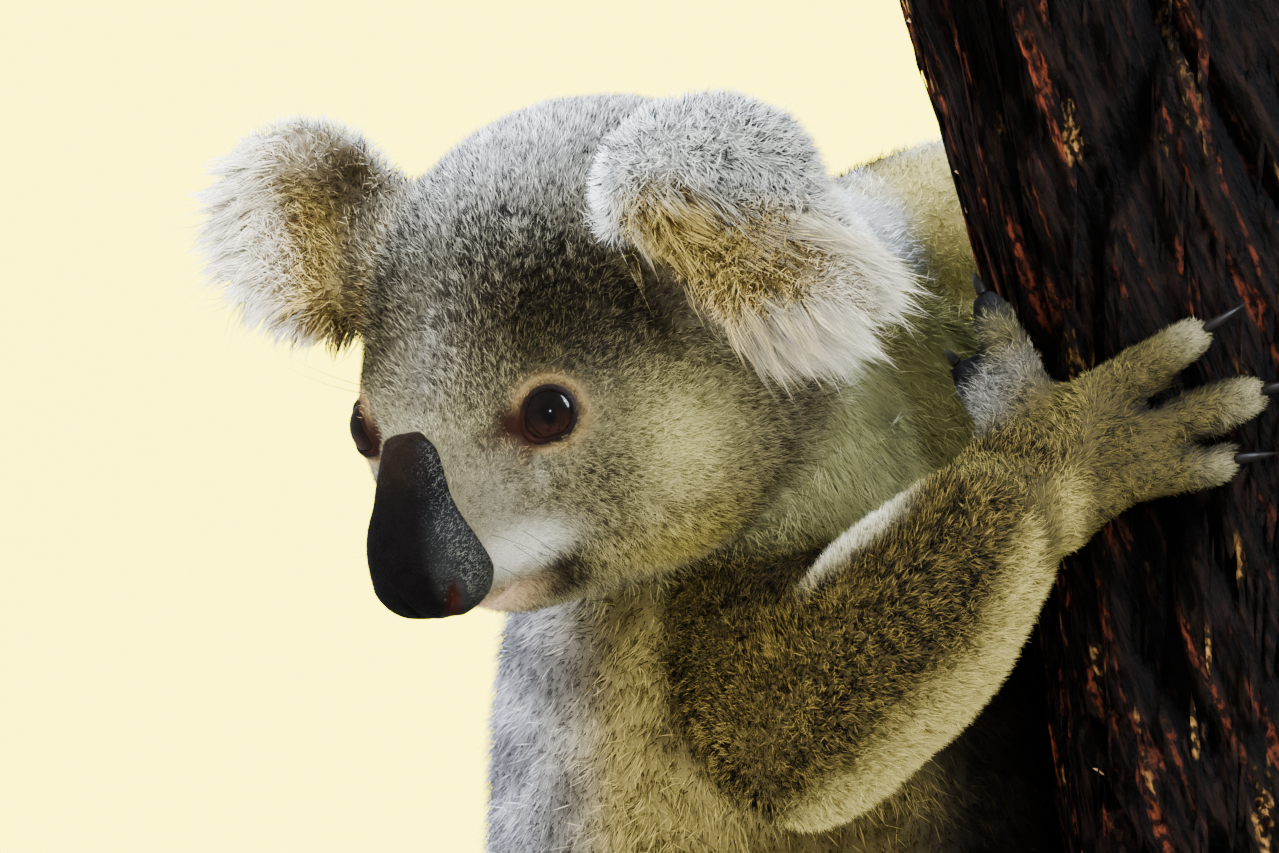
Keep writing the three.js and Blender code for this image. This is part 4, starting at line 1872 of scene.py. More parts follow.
    def finish_skin(self) -> bpy.types.Object:
        """Puts the skin in the scene with its colours.

        Returns:
            The skin's object.
        """
        mesh, nearest = self.skin.thinned()
        paint(mesh, self.colour[nearest])
        mark(mesh, self.gloss[nearest])
        return shown("koala_skin", mesh, Slot.COAT_GREY, FLESH_NODES, SkinFinish().material())


# ---------------------------------------------------------------- the coat
class Lie:
    """Which way the coat lies all over the skin."""

    NOSE_TIP = (104, 0, -12)
    EAR_ROOT = (0, 0, -42)
    HANG = 0.55
    NEXT = {
        Region.UPPER_ARM: Region.FOREARM,
        Region.FOREARM: Region.HAND,
        Region.THIGH: Region.SHANK,
        Region.SHANK: Region.FOOT,
    }

    def __init__(self, skin: Skin) -> None:
        """Works out the lie at each point of the skin.

        Args:
            skin: The skin, in its final shape.
        """
        self.skin = skin
        self.points = skin.surface.points
        normals = skin.surface.softened(skin.surface.normals(), 4)
        ways = np.zeros_like(self.points)
        for number, name in enumerate(skin.names):
            chosen = np.flatnonzero(skin.owner == number)
            if len(chosen):
                ways[chosen] = self.ways_of(name, chosen)
        ways = skin.surface.softened(unit(ways), 12)
        self.normals = unit(normals)
        self.ways = flattened(ways, self.normals)

    def ways_of(self, name: str, chosen: Array) -> Array:
        """The lie over one node's points, before it is laid flat on the skin.

        Args:
            name: The node.
            chosen: The numbers of its points.

        Returns:
            A direction for each.
        """
        region = region_of(name)
        points = self.points[chosen]
        side = name.rsplit("_", 1)[-1]
        if region is Region.HEAD:
            return self.head_ways(points)
        if region is Region.EAR:
            return self.ear_ways(name, points)
        if region in (Region.HAND, Region.FOOT):
            roots = np.array([centre_of(claw) for claw in claws_of(name)])
            rays = roots[None] - points[:, None]
            near = np.linalg.norm(rays, axis=2).argmin(1)
            return rays[np.arange(len(points)), near]
        if region in (Region.TORSO, Region.NECK):
            return np.tile(centre_of("torso") - centre_of("neck"), (len(points), 1))
        after = centre_of(f"{self.NEXT[region].value}_{side}")
        way = unit(after - centre_of(name)) + np.array([0, 0, -self.HANG])
        return np.tile(way, (len(points), 1))

    def head_ways(self, points: Array) -> Array:
        """Backwards from the nose, and outwards round each eye.

        Args:
            points: Points of the row's frame.

        Returns:
            A direction for each.
        """
        local = self.skin.head.inside(points)
        ways = unit(local - np.array(self.NOSE_TIP))
        for centre in self.skin.eye_centres().values():
            rays = local - centre
            far = np.linalg.norm(rays, axis=1)
            ways += unit(rays) * (1.4 * np.exp(-((far / 19) ** 2)))[:, None]
        return self.skin.head.turned_out(ways)

    def ear_ways(self, name: str, points: Array) -> Array:
        """From the ear's root out to its rim."""
        ear = self.skin.ears[name]
        return ear.turned_out(unit((ear.inside(points) - np.array(self.EAR_ROOT)) * np.array([0.1, 1, 1])))


@dataclass(frozen=True)
class Tufts:
    """Where tufts stand and what each is like. Lengths are in metres.

    Attributes:
        roots: Where each tuft stands.
        starts: The way it sets out.
        ends: The way its tip points, for its bend.
        ups: The way out of the skin there.
        lengths: How long it is.
        widths: How wide it is.
        root_tint: Its colour at the root.
        tip_tint: Its colour towards the tip.
        places: Its root's place on the skin's unwrap.
    """

    roots: Array
    starts: Array
    ends: Array
    ups: Array
    lengths: Array
    widths: Array
    root_tint: Array
    tip_tint: Array
    places: Array

    def path(self, share: float) -> Array:
        """Points a share of the way along each tuft.

        Args:
            share: The share, from 0 at the roots to 1 at the tips.

        Returns:
            One point of each tuft.
        """
        bend = self.roots + self.starts * (self.lengths * 0.5)[:, None]
        tip = bend + self.ends * (self.lengths * 0.5)[:, None]
        return (1 - share) ** 2 * self.roots + 2 * share * (1 - share) * bend + share**2 * tip

    def mesh(self, name: str, rings: Sequence[tuple[float, float]], flat: float = 0.45) -> bpy.types.Mesh:
        """Builds every tuft as a closed solid that ends in a point.

        Args:
            name: The mesh's name.
            rings: How far along each ring of three points is, and its share of the width. A first ring of
                width 0 is one point.
            flat: How thick a tuft is against its width.

        Returns:
            One mesh of all tufts, with tints and the map for baking.
        """
        count = len(self.roots)
        pointed = rings[0][1] == 0
        rings = rings[1:] if pointed else rings
        first = 1 if pointed else 0
        size = first + 3 * len(rings) + 1
        points = np.zeros((count, size, 3))
        tints = np.zeros((count, size, 3))
        spots = np.zeros((size, 2))
        points[:, 0] = self.path(0.0)
        tints[:, 0], spots[0] = self.root_tint, (0, -PATCH / 2)
        points[:, -1] = self.path(1.0)
        tints[:, -1], spots[-1] = self.tip_tint, (0, PATCH / 2)
        for number, (along, width) in enumerate(rings):
            middle = self.path(along)
            way = unit(self.path(min(along + 0.05, 1.0)) - self.path(along - 0.05))
            side = unit(np.cross(way, self.ups))
            over = np.cross(way, side)
            for corner in range(3):
                angle = math.tau * corner / 3 + math.pi / 2
                across = side * math.cos(angle) + over * (flat * math.sin(angle))
                spot = first + 3 * number + corner
                points[:, spot] = middle + across * (self.widths * width / 2)[:, None]
                tints[:, spot] = mix(self.root_tint, self.tip_tint, np.full(count, min(1.0, along * 1.5)))
                spots[spot] = (math.cos(angle) * PATCH * 0.35, (along - 0.5) * PATCH)
        faces = [(0, first + (k + 1) % 3, first + k) for k in range(3)] if pointed else [(2, 1, 0)]
        for number in range(len(rings) - 1):
            low, high = first + 3 * number, first + 3 * number + 3
            for k in range(3):
                after = (k + 1) % 3
                faces += [(low + k, low + after, high + after), (low + k, high + after, high + k)]
        last = size - 4
        faces += [(last + k, last + (k + 1) % 3, size - 1) for k in range(3)]
        corners = (np.arange(count)[:, None, None] * size + np.array(faces)[None]).reshape(-1, 3)
        mesh = mesh_from(name, points.reshape(-1, 3), corners)
        paint(mesh, tints.reshape(-1, 3))
        layer = mesh.uv_layers.new(name=BAKE_MAP)
        chart = (self.places[:, None] + spots[None]).reshape(-1, 2)
        layer.data.foreach_set("uv", chart[corners.ravel()].astype(np.float32).ravel())
        return mesh


@dataclass(frozen=True)
class CoatPiece:
    """One piece of the coat.

    Attributes:
        name: Its name.
        nodes: The nodes of flesh it covers.
        count: How many tufts it has.
        slot: Its material slot.
        bent: Whether its tufts bend, as longer hair does.
        where: Keeps part of those nodes' skin, from points of the head's frame, or nothing for all of it.
    """

    name: str
    nodes: tuple[str, ...]
    count: int
    slot: Slot = Slot.COAT_GREY
    bent: bool = False
    where: Callable[[Array], Array] | None = None


FACE_START = 30.0


def left_face(local: Array) -> Array:
    """Whether points of the head's frame are on the left of the face."""
    return (local[:, 0] > FACE_START) & (local[:, 1] >= 0)


def right_face(local: Array) -> Array:
    """Whether points of the head's frame are on the right of the face."""
    return (local[:, 0] > FACE_START) & (local[:, 1] < 0)


def behind_face(local: Array) -> Array:
    """Whether points of the head's frame are behind the face."""
    return local[:, 0] <= FACE_START


COAT_PIECES = [
    CoatPiece("coat_face", ("head",), 49000, where=left_face),
    CoatPiece("coat_face_right", ("head",), 16000, where=right_face),
    CoatPiece("coat_crown", ("head",), 42000, where=behind_face),
    CoatPiece("coat_ear_left", ("ear_left",), 20000, Slot.COAT_PALE, True),
    CoatPiece("coat_ear_right", ("ear_right",), 8000, Slot.COAT_PALE, True),
    CoatPiece("coat_arm_right", ("upper_arm_right", "forearm_right"), 49000),
    CoatPiece("coat_hand_right", ("hand_right",), 21000),
    CoatPiece("coat_arm_left", ("upper_arm_left", "forearm_left", "hand_left"), 20000),
    CoatPiece("coat_torso", ("torso",), 49000),
    CoatPiece("coat_neck", ("neck",), 8000, Slot.COAT_PALE),
    CoatPiece("coat_leg_right", ("thigh_right", "shank_right", "foot_right"), 13000),
    CoatPiece("coat_leg_left", ("thigh_left", "shank_left", "foot_left"), 11000),
]


class Coat:
    """The coat of tufts over the skin."""

    SUNK = 0.8 * MM
    BENT = ((0.0, 0.0), (0.42, 1.0))
    STRAIGHT = ((0.0, 1.0),)
    QUICK_SHARE = 0.35
    SEEN_SHARE = 2.5
    BURIED = 0.6 * MM
    EYE_SIZE = Rise(0.0, 1.0, 12, 40)
    NOSE_SIZE = Rise(0.0, 1.0, 22, 60)
    FINEST = {"length": 2.2, "width": 0.36}
    LENGTHS = (0.75, 1.2)
    WIDTHS = (0.75, 1.25)
    RISES = (0.7, 1.15)
    LIGHTS = (0.7, 1.3)
    STANDING = 0.18

    def __init__(self, skin: Skin, markings: Markings, lie: Lie) -> None:
        """Gets the coat's sizes ready at each point of the skin.

        Args:
            skin: The skin, in its final shape.
            markings: The tones all over it.
            lie: The way the coat lies all over it.
        """
        self.skin, self.markings, self.lie = skin, markings, lie
        surface = skin.surface
        sizes = {
            name: surface.softened(skin.per_node(lambda region, n=name: getattr(COATS[region], n)), 10)
            for name in ("lift", "length", "width", "stray", "clump", "curl")
        }
        local = skin.head.inside(surface.points)
        on_head = skin.on(*skin.head_names)
        near = np.minimum(self.EYE_SIZE.at(skin.eye_distance(local)), self.NOSE_SIZE.at(skin.nose_distance(local)))
        fine = np.where(on_head, near, 1.0)
        for name, least in self.FINEST.items():
            sizes[name] = np.where(on_head, least + (sizes[name] - least) * fine, sizes[name])
        sizes["lift"] = np.where(on_head, np.minimum(sizes["lift"], 1.0 + 3.0 * fine), sizes["lift"])
        self.sizes = sizes
        self.density = (1 - np.clip(markings.bare, 0, 1)) / (sizes["width"] * sizes["length"]) ** 0.8
        points, triangles, _ = solid_copy(["nose"])
        tree = BVHTree.FromPolygons(points.tolist(), triangles.tolist())
        for index in np.flatnonzero(on_head & (local[:, 0] > 70)):
            point = Vector(surface.points[index])
            place, normal, _, far = tree.find_nearest(point)
            if (point - place).dot(normal) < 0 and far > self.BURIED:
                self.density[index] = 0.0
        self.density[skin.owner >= len(FLESH_NODES)] = 0.0
        seen = surface.points[:, 1] < centre_of("torso")[1]
        self.density[skin.on("torso") & seen] *= self.SEEN_SHARE
        self.hue = np.random.default_rng(SEED)
        self.material = FurFinish("coat_fur").material()

    def unwrap(self, points: Array, nodes: Array, names: Sequence[str]) -> Array:
        """Places on an unwrap of the skin: each node's part in a band of its own, round its own axis.

        Args:
            points: Points on the skin.
            nodes: The number of the node each is on.
            names: The nodes of this piece.

        Returns:
            Places from 0 to 1 both ways, clear of the edges.
        """
        places = np.zeros((len(points), 2))
        for band, name in enumerate(names):
            chosen = nodes == self.skin.names.index(name)
            if not chosen.any():
                continue
            low, high = (np.array(corner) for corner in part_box(name))
            offsets = points[chosen] - (low + high) / 2
            axis = int(np.argmax(high - low))
            across = [k for k in range(3) if k != axis]
            turn = np.arctan2(offsets[:, across[1]], offsets[:, across[0]]) / math.tau + 0.5
            tilt = np.arccos(np.clip(offsets[:, axis] / np.linalg.norm(offsets, axis=1), -1, 1)) / math.pi
            places[chosen] = np.stack([turn, (band + tilt) / len(names)], axis=1)
        return PATCH + places * (1 - 2 * PATCH)

    def sample(self, piece: CoatPiece, count: int, density: Array) -> Spots:
        """Picks where tufts stand.

        Args:
            piece: The piece of the coat.
            count: How many are wanted.
            density: How thickly they stand at each point of the skin.

        Returns:
            The places.
        """
        surface = self.skin.surface
        wanted = self.skin.on(*piece.nodes)
        if piece.where is not None:
            wanted &= piece.where(self.skin.head.inside(surface.points))
        keep = wanted[surface.triangles].sum(1) >= 2
        return Spots(surface, density[surface.triangles].mean(1) * keep, count, self.hue)

    def piece(self, piece: CoatPiece) -> bpy.types.Object:
        """Builds one piece of the coat.

        Args:
            piece: Its plan.

        Returns:
            Its object.
        """
        count = int(piece.count * (1.0))
        spots = self.sample(piece, count, self.density)
        read = spots.read
        roots = read(self.skin.surface.points)
        ups = unit(read(self.lie.normals))
        lie = read(self.lie.ways)
        stray, clump = read(self.sizes["stray"]), read(self.sizes["clump"])
        scale = self.hue.uniform(*self.LENGTHS, count) * (0.85 + 0.3 * noise(roots, 0.012, 3))
        lengths = read(self.sizes["length"]) * MM * scale
        widths = read(self.sizes["width"]) * MM * self.hue.uniform(*self.WIDTHS, count)
        lie = lie + noise_vectors(roots, 0.005, 11) * (stray * 0.8)[:, None]
        lie = lie + self.hue.normal(0, 1, (count, 3)) * (stray * 0.45)[:, None]
        lie = flattened(lie, ups)
        aside = np.cross(ups, lie) * (self.hue.normal(0, 1, count) * read(self.sizes["curl"]))[:, None]
        curled = unit(lie + aside)
        rise = np.clip(read(self.sizes["lift"]) * MM / (lengths / scale), 0.15, 0.9)
        rise = np.clip(rise * self.hue.uniform(*self.RISES, count), 0.1, 0.95)
        starts, ends = (
            way * np.sqrt(1 - up**2)[:, None] + ups * up[:, None]
            for way, up in ((lie, (rise + self.STANDING).clip(0, 0.97)), (curled, (rise - self.STANDING).clip(0, 0.97)))
        )
        ends = self.drawn_together(roots, starts, ends, lengths, clump)
        tones = self.markings.tones
        dark, pale, share = read(tones.dark), read(tones.pale), read(tones.share)
        grain = read(self.sizes["width"]) * MM * 2.6
        cluster = 0.65 * noise(roots / grain[:, None], 1.0, 5) + 0.35 * self.hue.random(count)
        ranked = np.clip((cluster - 0.5) * 1.7 + 0.5, 0, 1)
        light = smoothstep(0.1, -0.1, ranked - share)
        value = self.hue.uniform(*self.LIGHTS, count)[:, None]
        tip = mix(dark, pale, light) * value
        root = mix(dark, tip, 0.25 + 0.4 * share) * (0.4 + 0.4 * share)[:, None]
        nodes = self.skin.owner[spots.corners[:, 0]]
        nodes[~self.skin.on(*piece.nodes)[spots.corners[:, 0]]] = self.skin.names.index(piece.nodes[0])
        tufts = Tufts(
            roots - ups * self.SUNK, starts, ends, ups, lengths + self.SUNK, widths, root, tip,
            self.unwrap(roots, nodes, piece.nodes),
        )
        mesh = tufts.mesh(piece.name, self.BENT if piece.bent else self.STRAIGHT)
        return shown(piece.name, mesh, piece.slot, (), self.material)

    def drawn_together(
        self, roots: Array, starts: Array, ends: Array, lengths: Array, clump: Array, lock: int = 9
    ) -> Array:
        """Turns tips towards those of one leader in each lock, so that the coat breaks into locks.

        Args:
            roots: Where the tufts stand.
            starts: The ways they set out.
            ends: The ways their tips point.
            lengths: How long they are.
            clump: How much their tips draw together.
            lock: How many tufts make a lock.

        Returns:
            The new ways that their tips point.
        """
        count = len(roots)
        leaders = self.hue.choice(count, max(count // lock, 1), replace=False)
        tips = roots + (starts + ends) * (lengths * 0.5)[:, None]
        tree = KDTree(len(leaders))
        for leader in leaders:
            tree.insert(roots[leader], int(leader))
        tree.balance()
        nearest = np.array([tree.find(root)[1] for root in roots])
        pull = (tips[nearest] - tips) / (lengths * 0.5)[:, None]
        pull *= np.minimum(1, 1.2 / np.maximum(np.linalg.norm(pull, axis=1, keepdims=True), 1e-9))
        return unit(ends + pull * clump[:, None])

    def build(self) -> list[bpy.types.Object]:
        """Builds every piece of the coat."""
        return [self.piece(piece) for piece in COAT_PIECES]


@dataclass(frozen=True)
class FringePlan:
    """The long hair of an ear. Lengths are in millimetres.

    Attributes:
        node: The ear.
        count: How many hairs.
        lengths: How long they are at heights in the ear's frame.
        heights: Those heights.
        width: A hair's width.
        droop: How much the tips hang.
        source: Where the hair fans out from, in the ear's own frame.
        band: How far past its line the thick of it stands.
        lobe: Where a second tuft of it starts, past its line.
        before: How far back it stands, across the ear.
        wisps: The share of hairs that are half as long again.
        tip: The colour it fades to towards the ear's tip.
    """

    node: str
    count: int
    lengths: tuple[float, ...]
    heights: tuple[float, ...]
    width: float
    droop: float
    source: Triple
    band: float
    lobe: float
    before: float
    wisps: float = 0.05
    tip: Colour = (252, 250, 240)


FRINGES = [
    FringePlan("ear_left", 9000, (9, 14, 26, 24, 15), (-38, -24, -10, 8, 38), 0.27, 0.05, (-10, -22, -110), 5, 15, 99),
    FringePlan("ear_right", 3000, (12, 16, 14), (-30, 0, 30), 0.42, 0.25, (0, 60, 10), 60, 90, 12),
]


@dataclass
class Fringe:
    """Long hair that sweeps out of an ear's opening and past its rim."""

    coat: Coat
    plan: FringePlan
    RINGS = ((0.0, 0.8), (0.6, 0.8))
    FLATNESS = 0.7
    CLUMP = 0.65
    LOCK = 35

    def build(self) -> bpy.types.Object:
        """Builds the fringe.

        Returns:
            Its object.
        """
        coat, plan, skin = self.coat, self.plan, self.coat.skin
        ear, hue = skin.ears[plan.node], self.coat.hue
        on_skin = ear.inside(skin.surface.points)
        past = skin.ear_plans[plan.node].past_line(on_skin)
        open_side = np.exp(-((past / plan.band) ** 2)) + 0.7 * smoothstep(0, 6, past - plan.lobe)
        open_side *= smoothstep(-1, 1, past)
        shaded_root = blob(on_skin, skin.ear_plans[plan.node].inner_root, skin.ear_plans[plan.node].inner_radii)
        open_side *= smoothstep(0.35, 0.05, shaded_root)
        open_side *= smoothstep(plan.before, plan.before - 10, on_skin[:, 1])
        count = int(plan.count * (1.0))
        piece = CoatPiece(f"coat_{plan.node}_fringe", (plan.node,), count, Slot.COAT_PALE)
        read = coat.sample(piece, count, open_side).read
        roots, ups = read(skin.surface.points), unit(read(coat.lie.normals))
        local = ear.inside(roots)
        flow = ear.turned_out(unit(local - np.array(plan.source)))
        flow = flow + noise_vectors(roots, 0.008, 21) * 0.3 + hue.normal(0, 0.1, (count, 3))
        flow = unit(flow + ups * np.clip(0.15 - (flow * ups).sum(1), 0, 1)[:, None])
        lengths = np.interp(local[:, 2], plan.heights, plan.lengths) * hue.uniform(0.5, 1.1, count) * MM
        lengths *= np.where(hue.random(count) < plan.wisps, 1.5, 1.0)
        out = smoothstep(-30, 34, local[:, 2])
        starts = unit(flow + ups * 0.3)
        ends = unit(flow + np.array([0, 0, -1.0]) * plan.droop + noise_vectors(roots, 0.006, 31) * 0.35)
        ends = coat.drawn_together(roots, starts, ends, lengths, np.full(count, self.CLUMP), self.LOCK)
        tones = coat.markings.tones
        dark, pale, share = read(tones.dark), read(tones.pale), read(tones.share)
        lock = 0.7 * noise(roots, 0.003, 35) + 0.3 * hue.random(count)
        light = smoothstep(0.15, -0.15, lock - share)
        value = hue.uniform(0.75, 1.2, count)[:, None]
        tip = mix(mix(dark, pale, light), linear(plan.tip), 0.6 * out**2) * value
        # Painted shadow: the roots are darkened to stand in for the shade between the locks.
        root = mix(dark, tip, 0.5) * 0.5
        nodes = np.full(count, skin.names.index(plan.node))
        widths = np.full(count, plan.width * MM)
        places = coat.unwrap(roots, nodes, piece.nodes)
        tufts = Tufts(roots - ups * coat.SUNK, starts, ends, ups, lengths, widths, root, tip, places)
        return shown(piece.name, tufts.mesh(piece.name, self.RINGS, self.FLATNESS), piece.slot, (), coat.material)


# ---------------------------------------------------------------- nose, eyes and claws
@dataclass(frozen=True)
class NosePlan:
    """The nose's nostrils and nap, in the head's frame, in millimetres.

    Attributes:
        nostril: The left nostril's middle.
        along: The way along its slit.
        outward: The way out of it.
        half_length: Half the slit's length.
        half_width: Half its width.
        bend: How much the slit bends.
        depth: How deep it is.
        height: How far before and behind its middle it reaches.
        rim: How high its rim is.
        rim_at: How far from the slit's middle the rim is.
        rim_width: How wide the rim is.
        groove: The depth of the groove between the nostrils.
        groove_width: Its width.
        pitch: The side of the mesh's squares.
        rounds: How many times the mesh is smoothed.
        leather: Display colour of the front.
        bridge: Display colour of the bridge.
        flank: Display colour of the sides, a lighter bluish grey laid on as a painted sheen.
        inside: Display colour inside the nostrils.
        nap_count: How many hairs the nap has.
        nap_length: Their length.
        nap_width: Their width.
        nap_side: Their tones at the sides.
        nap_bridge: Their tones on the bridge.
        nap_edge: Their tones at the side edges.
    """

    nostril: Triple = (106.5, 13.0, -25.5)
    along: Triple = (-0.25, 0.35, 0.9)
    outward: Triple = (0.7, 0.35, -0.35)
    half_length: float = 5.2
    half_width: float = 1.5
    bend: float = 0.09
    depth: float = 4.0
    height: float = 6.0
    rim: float = 0.5
    rim_at: float = 3.2
    rim_width: float = 1.3
    groove: float = 0.9
    groove_width: float = 1.1
    pitch: float = 0.8
    rounds: int = 12
    leather: Colour = (6, 5, 6)
    bridge: Colour = (20, 14, 10)
    flank: Colour = (30, 33, 35)
    inside: Colour = (52, 17, 10)
    nap_count: int = 13000
    nap_length: float = 1.5
    nap_width: float = 0.2
    nap_side: Tones = Tones((11, 12, 13), (74, 79, 80), 0.46)
    nap_bridge: Tones = Tones((6, 5, 4), (30, 25, 19), 0.3)
    nap_edge: Tones = Tones((66, 68, 66), (184, 185, 179), 0.6)


class Nose:
    """The leather of the nose, and the short nap on its sides and bridge."""

    def __init__(self, head: LocalFrame, plan: NosePlan) -> None:
        """Shapes the leather.

        Args:
            head: The head's frame.
            plan: The nose's sizes.
        """
        self.head, self.plan = head, plan
        points, triangles, _ = solid_copy(["nose"], 0.5 * MM)
        self.surface = Surface(remeshed("nose_leather", points, triangles, plan.pitch * MM))
        surface = self.surface
        surface.points = surface.softened(surface.points, plan.rounds)
        self.normals = surface.normals()
        self.local = mirrored(head.inside(surface.points))
        offset = self.local - np.array(plan.nostril)
        along, outward = unit(np.array(plan.along)), unit(np.array(plan.outward))
        length = offset @ along
        width = offset @ np.cross(along, outward) + plan.bend * length**2 / plan.half_length
        self.hole = np.exp(-((length / plan.half_length) ** 2) - (width / plan.half_width) ** 2)
        self.hole *= np.exp(-((offset @ outward) / plan.height) ** 2)
        beside = (np.abs(width) - plan.rim_at) / plan.rim_width
        rim = plan.rim * np.exp(-((length / (plan.half_length + 1.5)) ** 4) - beside**2)
        groove = plan.groove * np.exp(-((self.local[:, 1] / plan.groove_width) ** 2))
        groove *= smoothstep(-16, -26, self.local[:, 2])
        rise = 0.3 + rim - plan.depth * self.hole - groove
        surface.points = surface.points + self.normals * (rise * MM)[:, None]
        surface.store()

    def build(self) -> bpy.types.Object:
        """Builds the leather.

        Returns:
            Its object.
        """
        plan, local = self.plan, self.local
        colour = np.tile(linear(plan.leather), (len(local), 1))
        colour = mix(colour, linear(plan.bridge), smoothstep(2, 20, local[:, 2]) * 0.8)
        # Painted sheen: the sides are lightened to a bluish grey.
        side = smoothstep(10, 17, local[:, 1]) * smoothstep(12, -6, local[:, 2])
        colour = mix(colour, linear(plan.flank), side * 0.7)
        colour = mix(colour, linear(plan.inside), np.clip(self.hole * 1.2, 0, 1))
        mesh = self.surface.mesh
        paint(mesh, colour)
        return shown("nose_leather", mesh, Slot.NOSE, ["nose"], LeatherFinish().material())

    def nap(self, material: bpy.types.Material) -> bpy.types.Object:
        """Builds the short hair on its sides and bridge.

        Args:
            material: The coat's material.

        Returns:
            Its object.
        """
        plan, surface, local = self.plan, self.surface, self.local
        hue = np.random.default_rng(SEED + 1)
        lateral = np.abs(self.normals @ self.head.axes[1])
        side = smoothstep(9.5, 14, local[:, 1]) * smoothstep(14, -4, local[:, 2])
        side = np.maximum(side, smoothstep(0.55, 0.95, lateral) * smoothstep(26, 12, local[:, 2]) * 0.8)
        bridge = smoothstep(4, 20, local[:, 2]) * (1 - side)
        cover = (side + 0.7 * bridge) * smoothstep(0.25, 0.05, self.hole)
        count = int(plan.nap_count * (1.0))
        read = Spots(surface, cover[surface.triangles].mean(1) ** 1.5, count, hue).read
        roots, ups = read(surface.points), unit(read(self.normals))
        lie = self.head.turned_out(np.tile([-0.75, 0, 0.35], (count, 1)))
        hand = np.sign(self.head.inside(roots)[:, 1])
        lie = lie + self.head.axes[1] * (hand * 0.5)[:, None]
        lie = lie + hue.normal(0, 0.3, (count, 3))
        lie = flattened(lie, ups)
        rise = hue.uniform(0.15, 0.4, count)[:, None]
        way = lie * np.sqrt(1 - rise**2) + ups * rise
        tones = ToneField.plain(count, plan.nap_side)
        tones.lay(plan.nap_bridge, read(bridge))
        edge = np.maximum(smoothstep(14, 20, local[:, 1]), smoothstep(0.7, 0.95, lateral) * 0.6)
        tones.lay(plan.nap_edge, read(edge * side))
        pale = hue.random(count) < tones.share
        tip = np.where(pale[:, None], tones.pale, tones.dark) * hue.uniform(0.7, 1.2, count)[:, None]
        lengths = plan.nap_length * MM * hue.uniform(0.6, 1.2, count)
        angle = np.arctan2(local[:, 1], local[:, 2] + 12) / math.pi
        ahead = smoothstep(70, 115, read(local[:, 0]))
        places = np.stack([0.5 + 0.45 * read(angle) * hand, 0.1 + 0.8 * ahead], axis=1)
        widths = np.full(count, plan.nap_width * MM)
        tufts = Tufts(roots - ups * 0.2 * MM, way, way, ups, lengths, widths, tip * 0.5, tip, places)
        return shown("coat_nose_nap", tufts.mesh("coat_nose_nap", Coat.STRAIGHT), Slot.COAT_GREY, (), material)


@dataclass(frozen=True)
class EyePlan:
    """An eye's colours, with half angles from its axis in degrees.

    Attributes:
        pupil: The pupil's half height.
        iris: Where the iris ends.
        slit: How much taller the pupil is than wide.
        dusk: Between which angles the iris darkens again.
        rings: How many rings its mesh has.
        sides: How many sides they have.
        outside: The colour beyond the iris.
        above: The iris's colour in its upper part.
        below: The iris's colour in its lower part.
        centre: The pupil's colour.
        edge: The colour that the iris darkens to.
    """

    pupil: float = 19.0
    iris: float = 58.0
    slit: float = 1.5
    dusk: tuple[float, float] = (38.0, 52.0)
    rings: int = 48
    sides: int = 72
    outside: Colour = (5, 3, 3)
    above: Colour = (8, 5, 5)
    below: Colour = (27, 11, 7)
    centre: Colour = (3, 2, 3)
    edge: Colour = (14, 7, 6)


